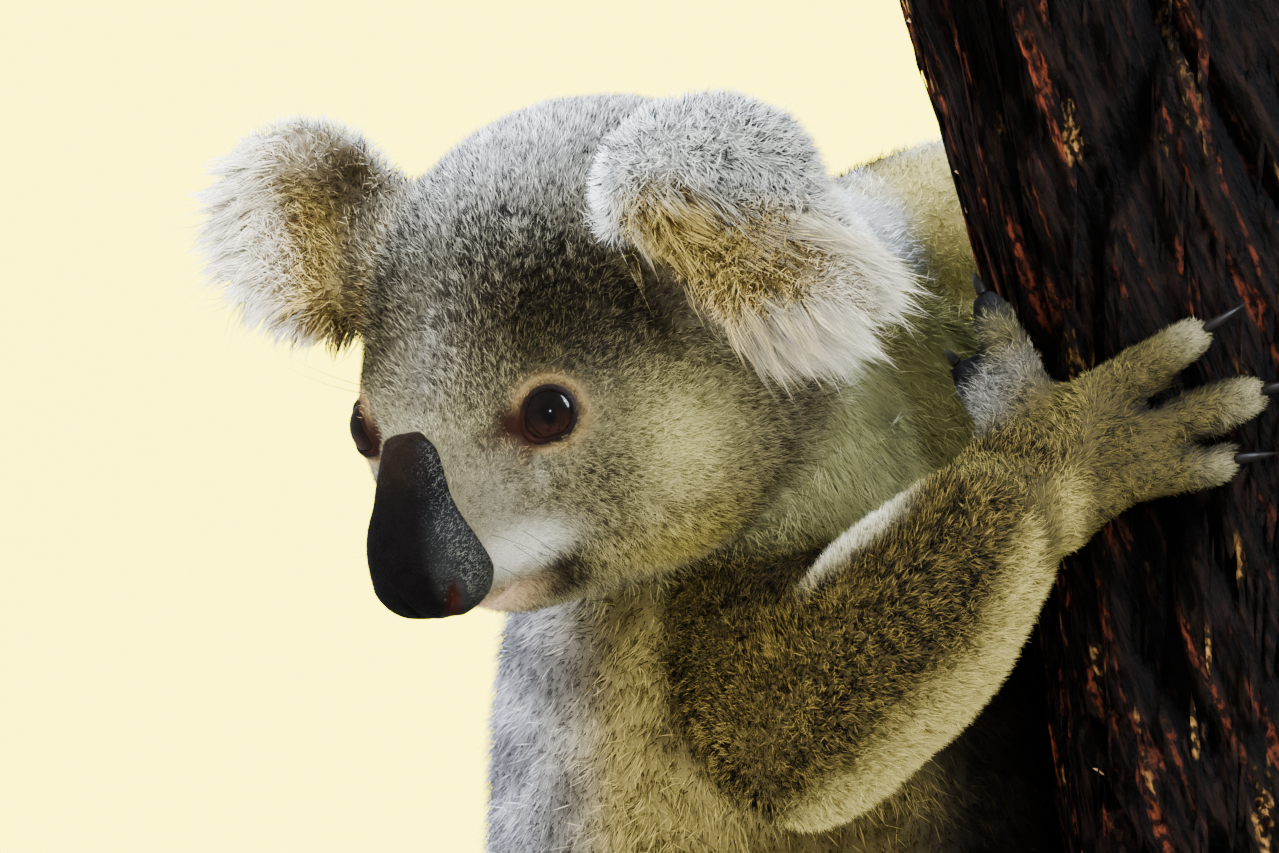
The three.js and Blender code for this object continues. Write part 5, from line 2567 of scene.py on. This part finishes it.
@dataclass
class Eye:
    """One eye: a dark globe with a brown iris and a tall pupil.

    Attributes:
        node: Its solid.
        head: The head's frame.
        axis: The way it looks.
        plan: Its colours.
    """

    node: str
    head: LocalFrame
    axis: Array
    plan: EyePlan

    def globe(self) -> tuple[Array, list[tuple[int, int, int]]]:
        """A ball of radius one.

        Returns:
            Its points, with z out of the eye and y up, and its triangles.
        """
        plan = self.plan
        angles = np.linspace(0, math.pi, plan.rings + 1)[1:-1]
        turns = np.linspace(0, math.tau, plan.sides, endpoint=False)
        ring, turn = (values.ravel() for values in np.meshgrid(angles, turns, indexing="ij"))
        ways = np.stack([np.cos(turn) * np.sin(ring), np.sin(turn) * np.sin(ring), np.cos(ring)], axis=1)
        ways = np.concatenate([ways, [[0, 0, 1], [0, 0, -1]]])
        faces = []
        for row in range(plan.rings - 2):
            for side in range(plan.sides):
                after = (side + 1) % plan.sides
                a, b = row * plan.sides + side, row * plan.sides + after
                faces += [(a, a + plan.sides, b + plan.sides), (a, b + plan.sides, b)]
        top, bottom = len(ways) - 2, len(ways) - 1
        last = (plan.rings - 2) * plan.sides
        for side in range(plan.sides):
            after = (side + 1) % plan.sides
            faces += [(top, side, after), (bottom, last + after, last + side)]
        return ways, faces

    def colours(self, ways: Array) -> Array:
        """The eye's colours.

        Args:
            ways: The globe's points.

        Returns:
            A linear colour for each.
        """
        plan = self.plan
        angle = np.degrees(np.arccos(np.clip(ways[:, 2], -1, 1)))
        tall = np.hypot(ways[:, 0] * plan.slit, ways[:, 1] / 1.1)
        pupil = smoothstep(math.sin(math.radians(plan.pupil + 3)), math.sin(math.radians(plan.pupil - 3)), tall)
        iris = smoothstep(plan.iris + 4, plan.iris - 4, angle)
        turn = np.arctan2(ways[:, 1], ways[:, 0])
        streaks = 0.7 + 0.6 * noise(np.stack([turn * 9, angle * 0.1, angle * 0], 1), 1.0, 2)
        outside, brown = (np.tile(linear(colour), (len(ways), 1)) for colour in (plan.outside, plan.above))
        brown = mix(brown, linear(plan.below), smoothstep(-0.1, 0.6, -ways[:, 1]))
        colour = mix(outside, brown, iris) * streaks[:, None]
        colour = mix(colour, linear(plan.centre), pupil * (ways[:, 2] > 0))
        return mix(colour, linear(plan.edge), smoothstep(*plan.dusk, angle))

    def build(self) -> bpy.types.Object:
        """Builds the eye.

        Returns:
            Its object.
        """
        name = self.node + "_globe"
        low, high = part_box(self.node)
        ways, faces = self.globe()
        upright = flattened(self.head.axes[2], self.axis)
        basis = np.stack([np.cross(upright, self.axis), upright, self.axis])
        mesh = mesh_from(name, centre_of(self.node) + (ways * (max(high - low) / 2)) @ basis, np.array(faces))
        paint(mesh, self.colours(ways))
        return shown(name, mesh, Slot.EYE, [self.node], EyeFinish(f"{self.node}_gloss").material())


@dataclass
class Claws:
    """The claws of one paw, smoothed from their solids."""

    paw: str
    material: bpy.types.Material
    SLIMMING = 0.5 * MM

    def build(self) -> bpy.types.Object:
        """Builds the claws.

        Returns:
            Their object.
        """
        name, nodes = f"claws_{self.paw}", claws_of(self.paw)
        points, triangles, _ = solid_copy(nodes, -self.SLIMMING)
        source = linked(name + "_source", mesh_from(name + "_source", points, triangles))
        source.modifiers.new("smooth", "SUBSURF").levels = 2
        return shown(name, outcome(source), Slot.CLAW, nodes, self.material)


# ---------------------------------------------------------------- Geometry Nodes
Feed = bpy.types.NodeSocket | bpy.types.Node


class Growth:
    """A Geometry Nodes tree built step by step, with named inputs, and applied to a mesh."""

    KINDS = {"FLOAT": "NodeSocketFloat", "INT": "NodeSocketInt", "MATERIAL": "NodeSocketMaterial"}

    def __init__(self, name: str) -> None:
        """Starts a tree with a geometry in and a geometry out.

        Args:
            name: The tree's name.
        """
        self.tree = bpy.data.node_groups.new(name, "GeometryNodeTree")
        self.tree.interface.new_socket("Geometry", in_out="INPUT", socket_type="NodeSocketGeometry")
        self.tree.interface.new_socket("Geometry", in_out="OUTPUT", socket_type="NodeSocketGeometry")
        self.source = self.tree.nodes.new("NodeGroupInput")
        self.sink = self.tree.nodes.new("NodeGroupOutput")
        self.names: dict[str, str] = {}

    def inputs(self, **kinds: str) -> list[bpy.types.NodeSocket]:
        """Adds named inputs.

        Args:
            kinds: FLOAT, INT or MATERIAL for each name.

        Returns:
            The sockets that give their values inside the tree.
        """
        for name, kind in kinds.items():
            made = self.tree.interface.new_socket(name, in_out="INPUT", socket_type=self.KINDS[kind])
            self.names[name] = made.identifier
        return [self.source.outputs[name] for name in kinds]

    def step(self, kind: str, links: dict[str | int, Feed] | None = None, **settings: Any) -> bpy.types.Node:
        """Adds a node.

        Args:
            kind: The node's type.
            links: What feeds its inputs, by name or number: a socket, or a node for its first output.
            settings: Properties of the node, or the values of inputs whose names start with in_.

        Returns:
            The node.
        """
        node = self.tree.nodes.new(kind)
        for name, value in settings.items():
            if name.startswith("in_"):
                name = name[3:].replace("_", " ")
                node.inputs[int(name) if name.isdigit() else name].default_value = value
            else:
                setattr(node, name, value)
        for name, source in (links or {}).items():
            source = source.outputs[0] if isinstance(source, bpy.types.Node) else source
            self.tree.links.new(source, node.inputs[name])
        return node

    def end(self, geometry: bpy.types.Node, material: bpy.types.NodeSocket) -> None:
        """Makes the instances real, gives them their material and ends the tree.

        Args:
            geometry: The node that places the instances.
            material: The input with their material.
        """
        real = self.step("GeometryNodeRealizeInstances", {0: geometry})
        smooth = self.step("GeometryNodeSetShadeSmooth", {"Geometry": real})
        finished = self.step("GeometryNodeSetMaterial", {"Geometry": smooth, "Material": material})
        self.tree.links.new(finished.outputs[0], self.sink.inputs[0])

    def grown_on(self, name: str, mesh: bpy.types.Mesh, **values: Any) -> bpy.types.Mesh:
        """Applies the tree to a mesh.

        Args:
            name: The name of what has grown.
            mesh: What it grows on.
            values: The inputs' values.

        Returns:
            A plain mesh of what has grown.
        """
        carrier = linked(name + "_carrier", mesh)
        modifier = carrier.modifiers.new("growth", "NODES")
        modifier.node_group = self.tree
        for label, value in values.items():
            modifier[self.names[label]] = value
        carrier.update_tag()
        return outcome(carrier)


@dataclass
class Whiskers:
    """A few stiff hairs on the muzzle and brows, grown from seeds on the skin."""

    skin: Skin
    SPOTS = ((88, 19, -14), (85, 23, -20), (82, 26, -17), (88, 16, -24), (79, 27, -24), (66, 34, 25), (62, 38, 26))
    LENGTH = 26 * MM
    RADIUS = 0.13 * MM
    BEND = 4 * MM
    BEND_AT = 0.55
    TIP_SHARE = 0.2
    LIE = (-0.5, 0, -0.25)

    def tree(self) -> Growth:
        """The tree that puts a thin tapered hair on every seed.

        Returns:
            The tree.
        """
        growth = Growth("whiskers")
        length, radius, bend, material = growth.inputs(
            Length="FLOAT", Radius="FLOAT", Bend="FLOAT", Material="MATERIAL"
        )
        half = growth.step("ShaderNodeMath", {0: length}, operation="MULTIPLY", in_1=self.BEND_AT)
        middle = growth.step("ShaderNodeCombineXYZ", {"Z": half})
        end = growth.step("ShaderNodeCombineXYZ", {"X": bend, "Z": length})
        links = {"Middle": middle, "End": end}
        hair = growth.step("GeometryNodeCurveQuadraticBezier", links, in_Resolution=8, in_Start=(0, 0, 0))
        along = growth.step("GeometryNodeSplineParameter").outputs["Factor"]
        taper = growth.step("ShaderNodeMapRange", {"Value": along}, in_To_Min=1.0, in_To_Max=self.TIP_SHARE)
        slim = growth.step("GeometryNodeSetCurveRadius", {"Curve": hair, "Radius": taper})
        ring = growth.step("GeometryNodeCurvePrimitiveCircle", {"Radius": radius}, in_Resolution=5)
        tube = growth.step("GeometryNodeCurveToMesh", {"Curve": slim, "Profile Curve": ring}, in_Fill_Caps=True)
        if "Scale" in tube.inputs:
            growth.tree.links.new(taper.outputs["Result"], tube.inputs["Scale"])
        way = growth.step("GeometryNodeInputNamedAttribute", data_type="FLOAT_VECTOR", in_Name="way")
        turn = growth.step("FunctionNodeAlignRotationToVector", {"Vector": way}, axis="Z")
        points = growth.step("GeometryNodeMeshToPoints", {"Mesh": growth.source})
        links = {"Points": points, "Instance": tube, "Rotation": turn}
        growth.end(growth.step("GeometryNodeInstanceOnPoints", links), material)
        return growth

    def build(self) -> bpy.types.Object:
        """Builds the whiskers.

        Returns:
            Their object.
        """
        spots = np.array([(x, y * side, z) for x, y, z in self.SPOTS for side in (1, -1)], float)
        head, surface = self.skin.head, self.skin.surface
        nearest = [np.linalg.norm(surface.points - spot, axis=1).argmin() for spot in head.outside(spots)]
        seeds = surface.points[nearest]
        mesh = bpy.data.meshes.new("whisker_seeds")
        mesh.vertices.add(len(seeds))
        mesh.vertices.foreach_set("co", seeds.astype(np.float32).ravel())
        mark(mesh, unit(surface.normals()[nearest] + head.turned_out(np.array(self.LIE))), "way")
        horn = HornFinish("whisker_hair", (40, 34, 28)).material()
        hairs = self.tree().grown_on(
            "whiskers", mesh, Length=self.LENGTH, Radius=self.RADIUS, Bend=self.BEND, Material=horn
        )
        return shown("whiskers", hairs, Slot.CLAW, (), horn)


# ---------------------------------------------------------------- perch and stand
@dataclass(frozen=True)
class BarkPlan:
    """The bark's furrows and strips. Lengths are in millimetres.

    Attributes:
        pitch: The side of the mesh's squares.
        furrow: How deep the furrows are.
        fine: How deep the fine grain is.
        wide: How far apart furrows are across the trunk.
        tall: How long they are.
        warp: How far they wander.
        lean: How far they lean along x and y on a millimetre of height.
        strips: How many loose strips on a square metre.
        strip_length: Their length.
        strip_width: Their width.
        strip_thickness: Their thickness.
        bare_end: How far from the sawn ends they stop.
    """

    pitch: float = 2.8
    furrow: float = 5.0
    fine: float = 1.6
    wide: float = 17.0
    tall: float = 105.0
    warp: float = 10.0
    lean: tuple[float, float] = (0.4, 0.1)
    strips: float = 6000.0
    strip_length: float = 34.0
    strip_width: float = 2.8
    strip_thickness: float = 1.3
    bare_end: float = 14.0
    quick_share: float = 0.4


@dataclass
class Perch:
    """The cut length of trunk: furrowed bark, loose strips, and two sawn ends."""

    plan: BarkPlan
    LEVEL = 0.8

    def furrowed(self) -> bpy.types.Mesh:
        """The trunk's solid with furrows pressed into its bark.

        Returns:
            The mesh.
        """
        plan = self.plan
        points, triangles, _ = solid_copy(["perch_trunk"])
        mesh = remeshed("perch_bark", points, triangles, plan.pitch * MM)
        surface = Surface(mesh)
        surface.points = surface.softened(surface.points, 10)
        normals = surface.normals()
        low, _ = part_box("perch_trunk")
        side = smoothstep(0.75, 0.45, np.abs(normals[:, 2]))
        rise = surface.points / MM
        spot = rise + noise_vectors(rise, 60, 41) * np.array([plan.warp, plan.warp, 0])
        spot[:, :2] += (rise[:, 2:] - low[2] / MM) * np.array([plan.lean])
        grid = np.array([plan.wide, plan.wide, plan.tall])
        ridge = 1 - np.abs(noise(spot / grid, 1.0, 43) * 2 - 1)
        second = 1 - np.abs(noise(spot / (grid * 0.45), 1.0, 47) * 2 - 1)
        fine = noise(spot / (grid * np.array([0.16, 0.16, 0.3])), 1.0, 51)
        depth = plan.furrow * (smoothstep(0.62, 0.98, ridge) + 0.55 * smoothstep(0.7, 1.0, second))
        height = 1.0 - depth - plan.fine * (1 - fine)
        surface.points = surface.points + normals * (height * side * MM)[:, None]
        surface.store()
        # Painted shade: a number that darkens the bark down in the furrows and leaves the ridges and sawn ends at full
        # colour.
        furrow_shade_factor = 1 - np.clip(depth / plan.furrow, 0, 1) * 0.85
        mark(mesh, np.where(side > 0.5, furrow_shade_factor, 1.0))
        return mesh

    def strips(self) -> Growth:
        """The tree that lays long strips of bark up the trunk.

        Returns:
            The tree.
        """
        growth = Growth("bark_strips")
        density, seed, length, width, thickness, material = growth.inputs(
            Density="FLOAT", Seed="INT", Length="FLOAT", Width="FLOAT", Thickness="FLOAT", Material="MATERIAL"
        )
        links = {"Mesh": growth.source, "Density": density, "Seed": seed}
        spread = growth.step("GeometryNodeDistributePointsOnFaces", links)
        lump = growth.step("GeometryNodeMeshUVSphere", in_Segments=6, in_Rings=5, in_Radius=0.5)
        along = growth.step("GeometryNodeInputNamedAttribute", data_type="FLOAT_VECTOR", in_Name="along")
        wander, vary = (
            growth.step("FunctionNodeRandomValue", {"Seed": seed}, data_type="FLOAT_VECTOR", in_0=least, in_1=most)
            for least, most in (((-0.09, -0.09, 0.0), (0.09, 0.09, 0.0)), ((0.5, 0.4, 0.25), (1.5, 1.6, 1.7)))
        )
        leaning = growth.step("ShaderNodeVectorMath", {0: along, 1: wander}, operation="ADD")
        align = "FunctionNodeAlignRotationToVector"
        upright = growth.step(align, {"Vector": leaning}, axis="Z")
        links = {"Rotation": upright, "Vector": spread.outputs["Normal"]}
        turned = growth.step(align, links, axis="X", pivot_axis="Z")
        size = growth.step("ShaderNodeCombineXYZ", {"X": thickness, "Y": width, "Z": length})
        scale = growth.step("ShaderNodeVectorMath", {0: size, 1: vary}, operation="MULTIPLY")
        links = {"Points": spread, "Instance": lump, "Rotation": turned, "Scale": scale}
        growth.end(growth.step("GeometryNodeInstanceOnPoints", links), material)
        return growth

    def side_only(self, mesh: bpy.types.Mesh) -> bpy.types.Mesh:
        """A copy of the bark's mesh without its sawn ends.

        Args:
            mesh: The bark's mesh.

        Returns:
            The copy, with the way up the trunk at each point.
        """
        copy = mesh.copy()
        low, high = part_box("perch_trunk")
        margin = self.plan.bare_end * MM
        with edited(copy) as work:
            ends = [face for face in work.faces if not low.z + margin < face.calc_center_median().z < high.z - margin]
            bmesh.ops.delete(work, geom=ends, context="FACES")
        surface = Surface(copy)
        out = unit(surface.softened(surface.normals(), 40))
        along = flattened(np.array([0, 0, 1.0]), out)
        mark(copy, along, "along")
        return copy

    def build(self) -> list[bpy.types.Object]:
        """Builds the perch.

        Returns:
            The bark with its ends, and the loose strips.
        """
        plan = self.plan
        mesh = self.furrowed()
        finishes = BarkFinish("bark").material(), SawnFinish().material()
        perch = shown("perch_bark", mesh, Slot.BARK, ["perch_trunk"], *finishes)
        sawn = np.abs(read_rows(mesh.polygons, "normal", 3)[:, 2]) > self.LEVEL
        mesh.polygons.foreach_set("material_index", sawn.astype(np.int32))
        strand = BarkFinish("bark_strand", strands=0.4).material()
        strips = self.strips().grown_on(
            "bark_strips",
            self.side_only(mesh),
            Density=plan.strips * 1.0,
            Seed=SEED,
            Length=plan.strip_length * MM,
            Width=plan.strip_width * MM,
            Thickness=plan.strip_thickness * MM,
            Material=strand,
        )
        # The strips get no painted furrow shade.
        mark(strips, np.ones(len(strips.vertices)))
        return [perch, shown("bark_strips", strips, Slot.BARK, (), strand)]


@dataclass(frozen=True)
class SawnFinish:
    """A sawn end: pale brown wood with growth rings.

    Attributes:
        name: The material's name.
        light: Colour of the early wood.
        dark: Colour of the late wood.
        heart: How far the rings' middle is from the trunk's axis along x, in metres.
        rings: How close the rings are.
        wander: How far they are pulled about.
    """

    name: str = "sawn_wood"
    light: Colour = (158, 122, 84)
    dark: Colour = (124, 90, 58)
    heart: float = 0.02
    rings: float = 46.0
    wander: float = 7.0

    def material(self) -> bpy.types.Material:
        """Builds the material.

        Returns:
            The material.
        """
        graph = Graph(self.name)
        low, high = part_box("perch_trunk")
        middle = (low + high) / 2
        shift = graph.nodes.new("ShaderNodeVectorMath")
        shift.operation = "SUBTRACT"
        shift.inputs[1].default_value = (middle.x - self.heart, middle.y, 0)
        graph.join(graph.place(), shift.inputs[0])
        rings = graph.node("ShaderNodeTexWave", Scale=self.rings, Distortion=self.wander, Detail=4, Detail_Scale=0.6)
        rings.wave_type, rings.rings_direction = "RINGS", "Z"
        graph.join(shift.outputs[0], rings.inputs["Vector"])
        tone = graph.ramp(rings.outputs["Fac"], [(0.2, linear(self.dark)), (0.8, linear(self.light))])
        graph.cover(tone, graph.grain(300), 0.6, 0.85)
        graph.bump(rings.outputs["Fac"], 0.3, 0.0006)
        return graph.material


def lathed(name: str, profile: Sequence[tuple[float, float]], centre: Sequence[float], sides: int) -> bpy.types.Mesh:
    """Turns a profile round an upright axis.

    Args:
        name: The mesh's name.
        profile: Radius and height of each step, from the axis at the bottom to the axis at the top.
        centre: Where the axis stands.
        sides: How many sides.

    Returns:
        A closed mesh if the profile starts and ends on the axis.
    """
    work = bmesh.new()
    rows, (x, y) = [], centre
    for radius, height in profile:
        turns = np.linspace(0, math.tau, sides, endpoint=False) if radius > 0 else [0.0]
        spots = [(x + radius * math.cos(turn), y + radius * math.sin(turn), height) for turn in turns]
        rows.append([work.verts.new(spot) for spot in spots])
    for low, high in itertools.pairwise(rows):
        for side in range(sides):
            after = (side + 1) % sides
            if len(low) == 1 and len(high) > 1:
                work.faces.new((low[0], high[after], high[side]))
            elif len(high) == 1 and len(low) > 1:
                work.faces.new((low[side], low[after], high[0]))
            elif len(low) > 1:
                work.faces.new((low[side], low[after], high[after], high[side]))
    mesh = bpy.data.meshes.new(name)
    work.to_mesh(mesh)
    work.free()
    shade_smooth(mesh)
    return mesh


@dataclass(frozen=True)
class StandPlan:
    """Rounding and collars of the display stand, in metres.

    Attributes:
        edge: The radius of the plate's upper edge.
        foot: The bevel of its lower edge.
        steps: How many steps the round edge has.
        collar: How far a collar stands out from its rod.
        collar_height: How high it is.
        sides: How many sides the plate has.
        rod_sides: How many sides a rod has.
    """

    edge: float = 0.004
    foot: float = 0.002
    steps: int = 8
    collar: float = 0.0045
    collar_height: float = 0.012
    sides: int = 96
    rod_sides: int = 40


@dataclass
class Stand:
    """The plain display stand: a round plate and two rods with collars."""

    plan: StandPlan

    def base(self) -> bpy.types.Object:
        """Builds the plate with a rounded upper edge.

        Returns:
            Its object.
        """
        plan = self.plan
        low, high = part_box("stand_base")
        radius, edge = (high.x - low.x) / 2, plan.edge
        turns = np.linspace(0, math.pi / 2, plan.steps)
        rounded = [(radius - edge + edge * math.cos(turn), high.z - edge + edge * math.sin(turn)) for turn in turns]
        foot = [(0, low.z), (radius * 0.9, low.z), (radius - plan.foot, low.z), (radius, low.z + plan.foot)]
        flat = [(radius * share, high.z) for share in (0.9, 0.5, 0)]
        middle = (low + high) / 2
        mesh = lathed("stand_plate", [*foot, *rounded, *flat], (middle.x, middle.y), plan.sides)
        paint_black = PaintFinish("stand_paint", (40, 39, 37)).material()
        return shown("stand_plate", mesh, Slot.STAND, ["stand_base"], paint_black)

    def rod(self, side: str, material: bpy.types.Material) -> bpy.types.Object:
        """Builds one rod with a collar at its foot.

        Args:
            side: Which rod, left or right.
            material: Its steel.

        Returns:
            Its object.
        """
        plan = self.plan
        low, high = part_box(f"stand_rod_{side}")
        middle = (low + high) / 2
        radius = (high.x - low.x) / 2
        wide, bevel = radius + plan.collar, plan.edge / 4
        top = low.z + plan.collar_height
        profile = [
            (0, low.z), (wide - bevel, low.z), (wide, low.z + bevel), (wide, top - bevel), (wide - bevel, top),
            (radius + bevel, top), (radius, top + bevel), (radius, high.z - bevel), (radius - bevel, high.z),
            (0, high.z),
        ]
        mesh = lathed(f"stand_post_{side}", profile, (middle.x, middle.y), plan.rod_sides)
        return shown(f"stand_post_{side}", mesh, Slot.ROD, [f"stand_rod_{side}"], material)

    def build(self) -> list[bpy.types.Object]:
        """Builds the stand."""
        steel = PaintFinish("rod_steel", (150, 148, 144), 0.3, 1.0).material()
        return [self.base(), self.rod("left", steel), self.rod("right", steel)]


# ---------------------------------------------------------------- studio
@dataclass(frozen=True)
class Lamp:
    """A soft lamp, placed from the head. Lengths are in metres.

    Attributes:
        name: Its name.
        shift: Where it is, from the middle between the eyes.
        size: Its side.
        power: Its power in watts.
        colour: Its colour.
        mirrored: Whether glossy things show it.
        shines: Whether it lights anything but glossy things.
        height: Its other side, where it isn't round.
    """

    name: str
    shift: Triple
    size: float
    power: float
    colour: Colour = (255, 255, 255)
    mirrored: bool = False
    shines: bool = True
    height: float = 0.0


@dataclass(frozen=True)
class StudioPlan:
    """The camera, the lamps and the round pale backdrop. Lengths are in metres, but the lens's in millimetres.

    Attributes:
        camera_shift: Where the camera is, from the left eye.
        lens: Its focal length.
        sensor: Its sensor's width.
        bowl_radius: The backdrop's radius.
        bowl_height: The height of its wall.
        bowl_bend: The radius between its floor and its wall.
        bowl_drop: How far its floor is below the stand.
        paper: Its colour.
        glow_colour: The colour of the light that its wall gives off.
        glow: How strong that is.
        glow_at: Where it is strongest.
        glow_reach: How far off it starts and is full.
        cream: What the paper's colour is multiplied by where it is full.
        sky: How strong the light from all round is.
        sky_colour: Its colour.
        lamps: The lamps.
    """

    camera_shift: Triple = (0.0254, -1.7965, -0.0041)
    lens: float = 172.26
    sensor: float = 36.0
    bowl_radius: float = 3.0
    bowl_height: float = 2.9
    bowl_bend: float = 0.9
    bowl_drop: float = 0.0004
    paper: Colour = (222, 218, 206)
    glow_colour: Triple = (1.0, 0.88, 0.0)
    glow: float = 7.6
    glow_at: Triple = (-0.2, 3.0, 0.5)
    cream: Triple = (1.0, 0.9, 0.0)
    glow_reach: tuple[float, float] = (1.35, 0.7)
    sky: float = 0.3
    sky_colour: Colour = (250, 250, 246)
    lamps: tuple[Lamp, ...] = (
        Lamp("key", (-0.9, -1.0, 1.1), 0.9, 17.5, (255, 252, 246)),
        Lamp("fill", (1.2, -1.5, 0.35), 1.2, 19, (255, 248, 232)),
        Lamp("low", (-0.7, -1.3, -0.25), 0.9, 17.5, (255, 250, 240)),
        Lamp("ear", (-0.5, -0.3, 0.25), 0.3, 12.5, (255, 250, 238)),
        Lamp("side", (0.95, 0.3, 0.75), 0.8, 30, (255, 250, 232)),
        Lamp("edge", (-1.35, 0.65, 0.45), 0.7, 70, (218, 228, 255)),
        Lamp("glint", (0.8, -0.65, 0.75), 0.12, 3, (255, 255, 255), True),
        Lamp("arc", (0.78, -0.52, 0.82), 0.3, 30, (222, 232, 255), True, shines=False, height=1.2),
        Lamp("window", (-0.2, -1.5, 0.14), 0.16, 3, (255, 255, 255), True, shines=False),
        Lamp("rim", (-0.6, 1.3, 1.0), 0.9, 95, (226, 238, 255)),
        Lamp("top", (-0.15, 0.35, 1.5), 1.0, 130, (230, 241, 255)),
    )


@dataclass
class Studio:
    """Camera, lamps, floor and backdrop."""

    plan: StudioPlan

    def camera(self) -> bpy.types.Object:
        """Builds a long-lensed camera level with the head.

        Returns:
            The camera.
        """
        plan = self.plan
        data = bpy.data.cameras.new("camera")
        data.lens, data.sensor_width = plan.lens, plan.sensor
        data.clip_end = 50
        camera = bpy.data.objects.new("camera", data)
        camera.location = Vector(centre_of("eye_left")) + Vector(plan.camera_shift)
        camera.rotation_euler = (math.pi / 2, 0, 0)
        bpy.context.scene.collection.objects.link(camera)
        bpy.context.scene.camera = camera
        return camera

    def lights(self) -> None:
        """Hangs the lamps, all turned to the head, and sets the sky."""
        aim = Vector((centre_of("eye_left") + centre_of("eye_right")) / 2)
        for lamp in self.plan.lamps:
            data = bpy.data.lights.new(lamp.name, "AREA")
            data.shape, data.size, data.energy = "ELLIPSE", lamp.size, lamp.power
            data.size_y = lamp.height or lamp.size
            data.color = tuple(linear(lamp.colour))
            light = bpy.data.objects.new(lamp.name, data)
            light.location = aim + Vector(lamp.shift)
            light.visible_glossy, light.visible_diffuse = lamp.mirrored, lamp.shines
            light.rotation_euler = (-Vector(lamp.shift)).to_track_quat("-Z", "Y").to_euler()
            bpy.context.scene.collection.objects.link(light)
        world = bpy.data.worlds.new("sky")
        world.use_nodes = True
        back = world.node_tree.nodes["Background"]
        back.inputs["Color"].default_value = (*linear(self.plan.sky_colour), 1)
        back.inputs["Strength"].default_value = self.plan.sky
        bpy.context.scene.world = world

    def backdrop(self) -> bpy.types.Object:
        """Builds a pale round floor that curves up into a wall.

        Returns:
            Its object.
        """
        plan = self.plan
        bend = plan.bowl_bend
        turns = np.linspace(0, math.pi / 2, 12)
        curve = [(plan.bowl_radius - bend + bend * math.sin(turn), bend - bend * math.cos(turn)) for turn in turns]
        profile = [(0, 0.0), (1.0, 0.0), *curve, (plan.bowl_radius, plan.bowl_height)]
        mesh = lathed("backdrop", profile, (0, 0), 96)
        mesh.flip_normals()
        mesh.transform(Matrix.Translation((0, 0, -plan.bowl_drop)))
        graph = Graph("backdrop_paper")
        colour = linear(plan.paper)
        paper = graph.ramp(graph.grain(2.0), [(0.2, colour * 0.96), (0.8, colour)])
        graph.settle(Emission_Color=(*plan.glow_colour, 1))
        far = graph.nodes.new("ShaderNodeVectorMath")
        far.operation = "DISTANCE"
        far.inputs[1].default_value = plan.glow_at
        graph.join(graph.place(), far.inputs[0])
        start, full = plan.glow_reach
        glow = graph.node("ShaderNodeMapRange", From_Min=start, From_Max=full, To_Min=0.0, To_Max=plan.glow)
        glow.interpolation_type = "SMOOTHSTEP"
        graph.join(far.outputs["Value"], glow.inputs["Value"])
        graph.join(glow.outputs["Result"], graph.shader.inputs["Emission Strength"])
        cream = graph.ramp(glow.outputs["Result"], [(0.0, (1, 1, 1)), (1.0, plan.cream)])
        graph.join(graph.blended("MULTIPLY", paper, cream), graph.shader.inputs["Base Color"])
        graph.settle(Roughness=0.9, Specular_IOR_Level=0.0)
        self.open_from_outside(graph)
        mesh.materials.append(graph.material)
        backdrop = linked("backdrop", mesh)
        backdrop.visible_glossy = False
        backdrop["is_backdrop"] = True
        return backdrop

    @staticmethod
    def open_from_outside(graph: Graph) -> None:
        """Lets the wall be looked through from outside.

        Args:
            graph: The paper's material.
        """
        side = graph.nodes.new("ShaderNodeNewGeometry")
        clear = graph.nodes.new("ShaderNodeBsdfTransparent")
        either = graph.nodes.new("ShaderNodeMixShader")
        surface = graph.material.node_tree.nodes["Material Output"].inputs["Surface"]
        graph.join(side.outputs["Backfacing"], either.inputs["Fac"])
        graph.join(graph.shader.outputs["BSDF"], either.inputs[1])
        graph.join(clear.outputs["BSDF"], either.inputs[2])
        graph.join(either.outputs["Shader"], surface)


def as_lists(value: Any) -> Any:
    """Turns vectors, arrays and tuples inside a value into plain lists.

    Args:
        value: The value.

    Returns:
        The same with plain lists.
    """
    if isinstance(value, dict):
        return {name: as_lists(part) for name, part in value.items()}
    if isinstance(value, (Vector, np.ndarray, tuple, list)):
        return [as_lists(part) for part in value]
    return value


def main() -> None:
    """Builds the looks in order and notes the sizes before and after."""
    logging.basicConfig(level=logging.INFO, format="%(name)s: %(message)s")
    sizes = {"before": as_lists(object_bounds())}
    head = HeadPlan().frame()
    lids = LidPlan()
    studio = Studio(StudioPlan())
    studio.camera()
    studio.lights()
    studio.backdrop()
    Perch(BarkPlan()).build()
    Stand(StandPlan()).build()
    skin = Skin(head, EARS, lids, MouthPlan())
    markings = Markings(skin)
    markings.finish_skin()
    nose = Nose(head, NosePlan())
    nose.build()
    for node, side in SIDES.items():
        axis = head.turned_out(unit(np.array(lids.axis) * np.array([1, side, 1])))
        Eye(node, head, axis, EyePlan()).build()
    horn = HornFinish().material()
    for paw in ("hand_left", "hand_right", "foot_left", "foot_right"):
        Claws(paw, horn).build()
    coat = Coat(skin, markings, Lie(skin))
    coat.build()
    nose.nap(coat.material)
    for plan in FRINGES:
        Fringe(coat, plan).build()
    Whiskers(skin).build()
    sizes["after"] = as_lists(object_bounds())
    log.info("sizes: %s", sizes)


if __name__ == "__main__":
    main()
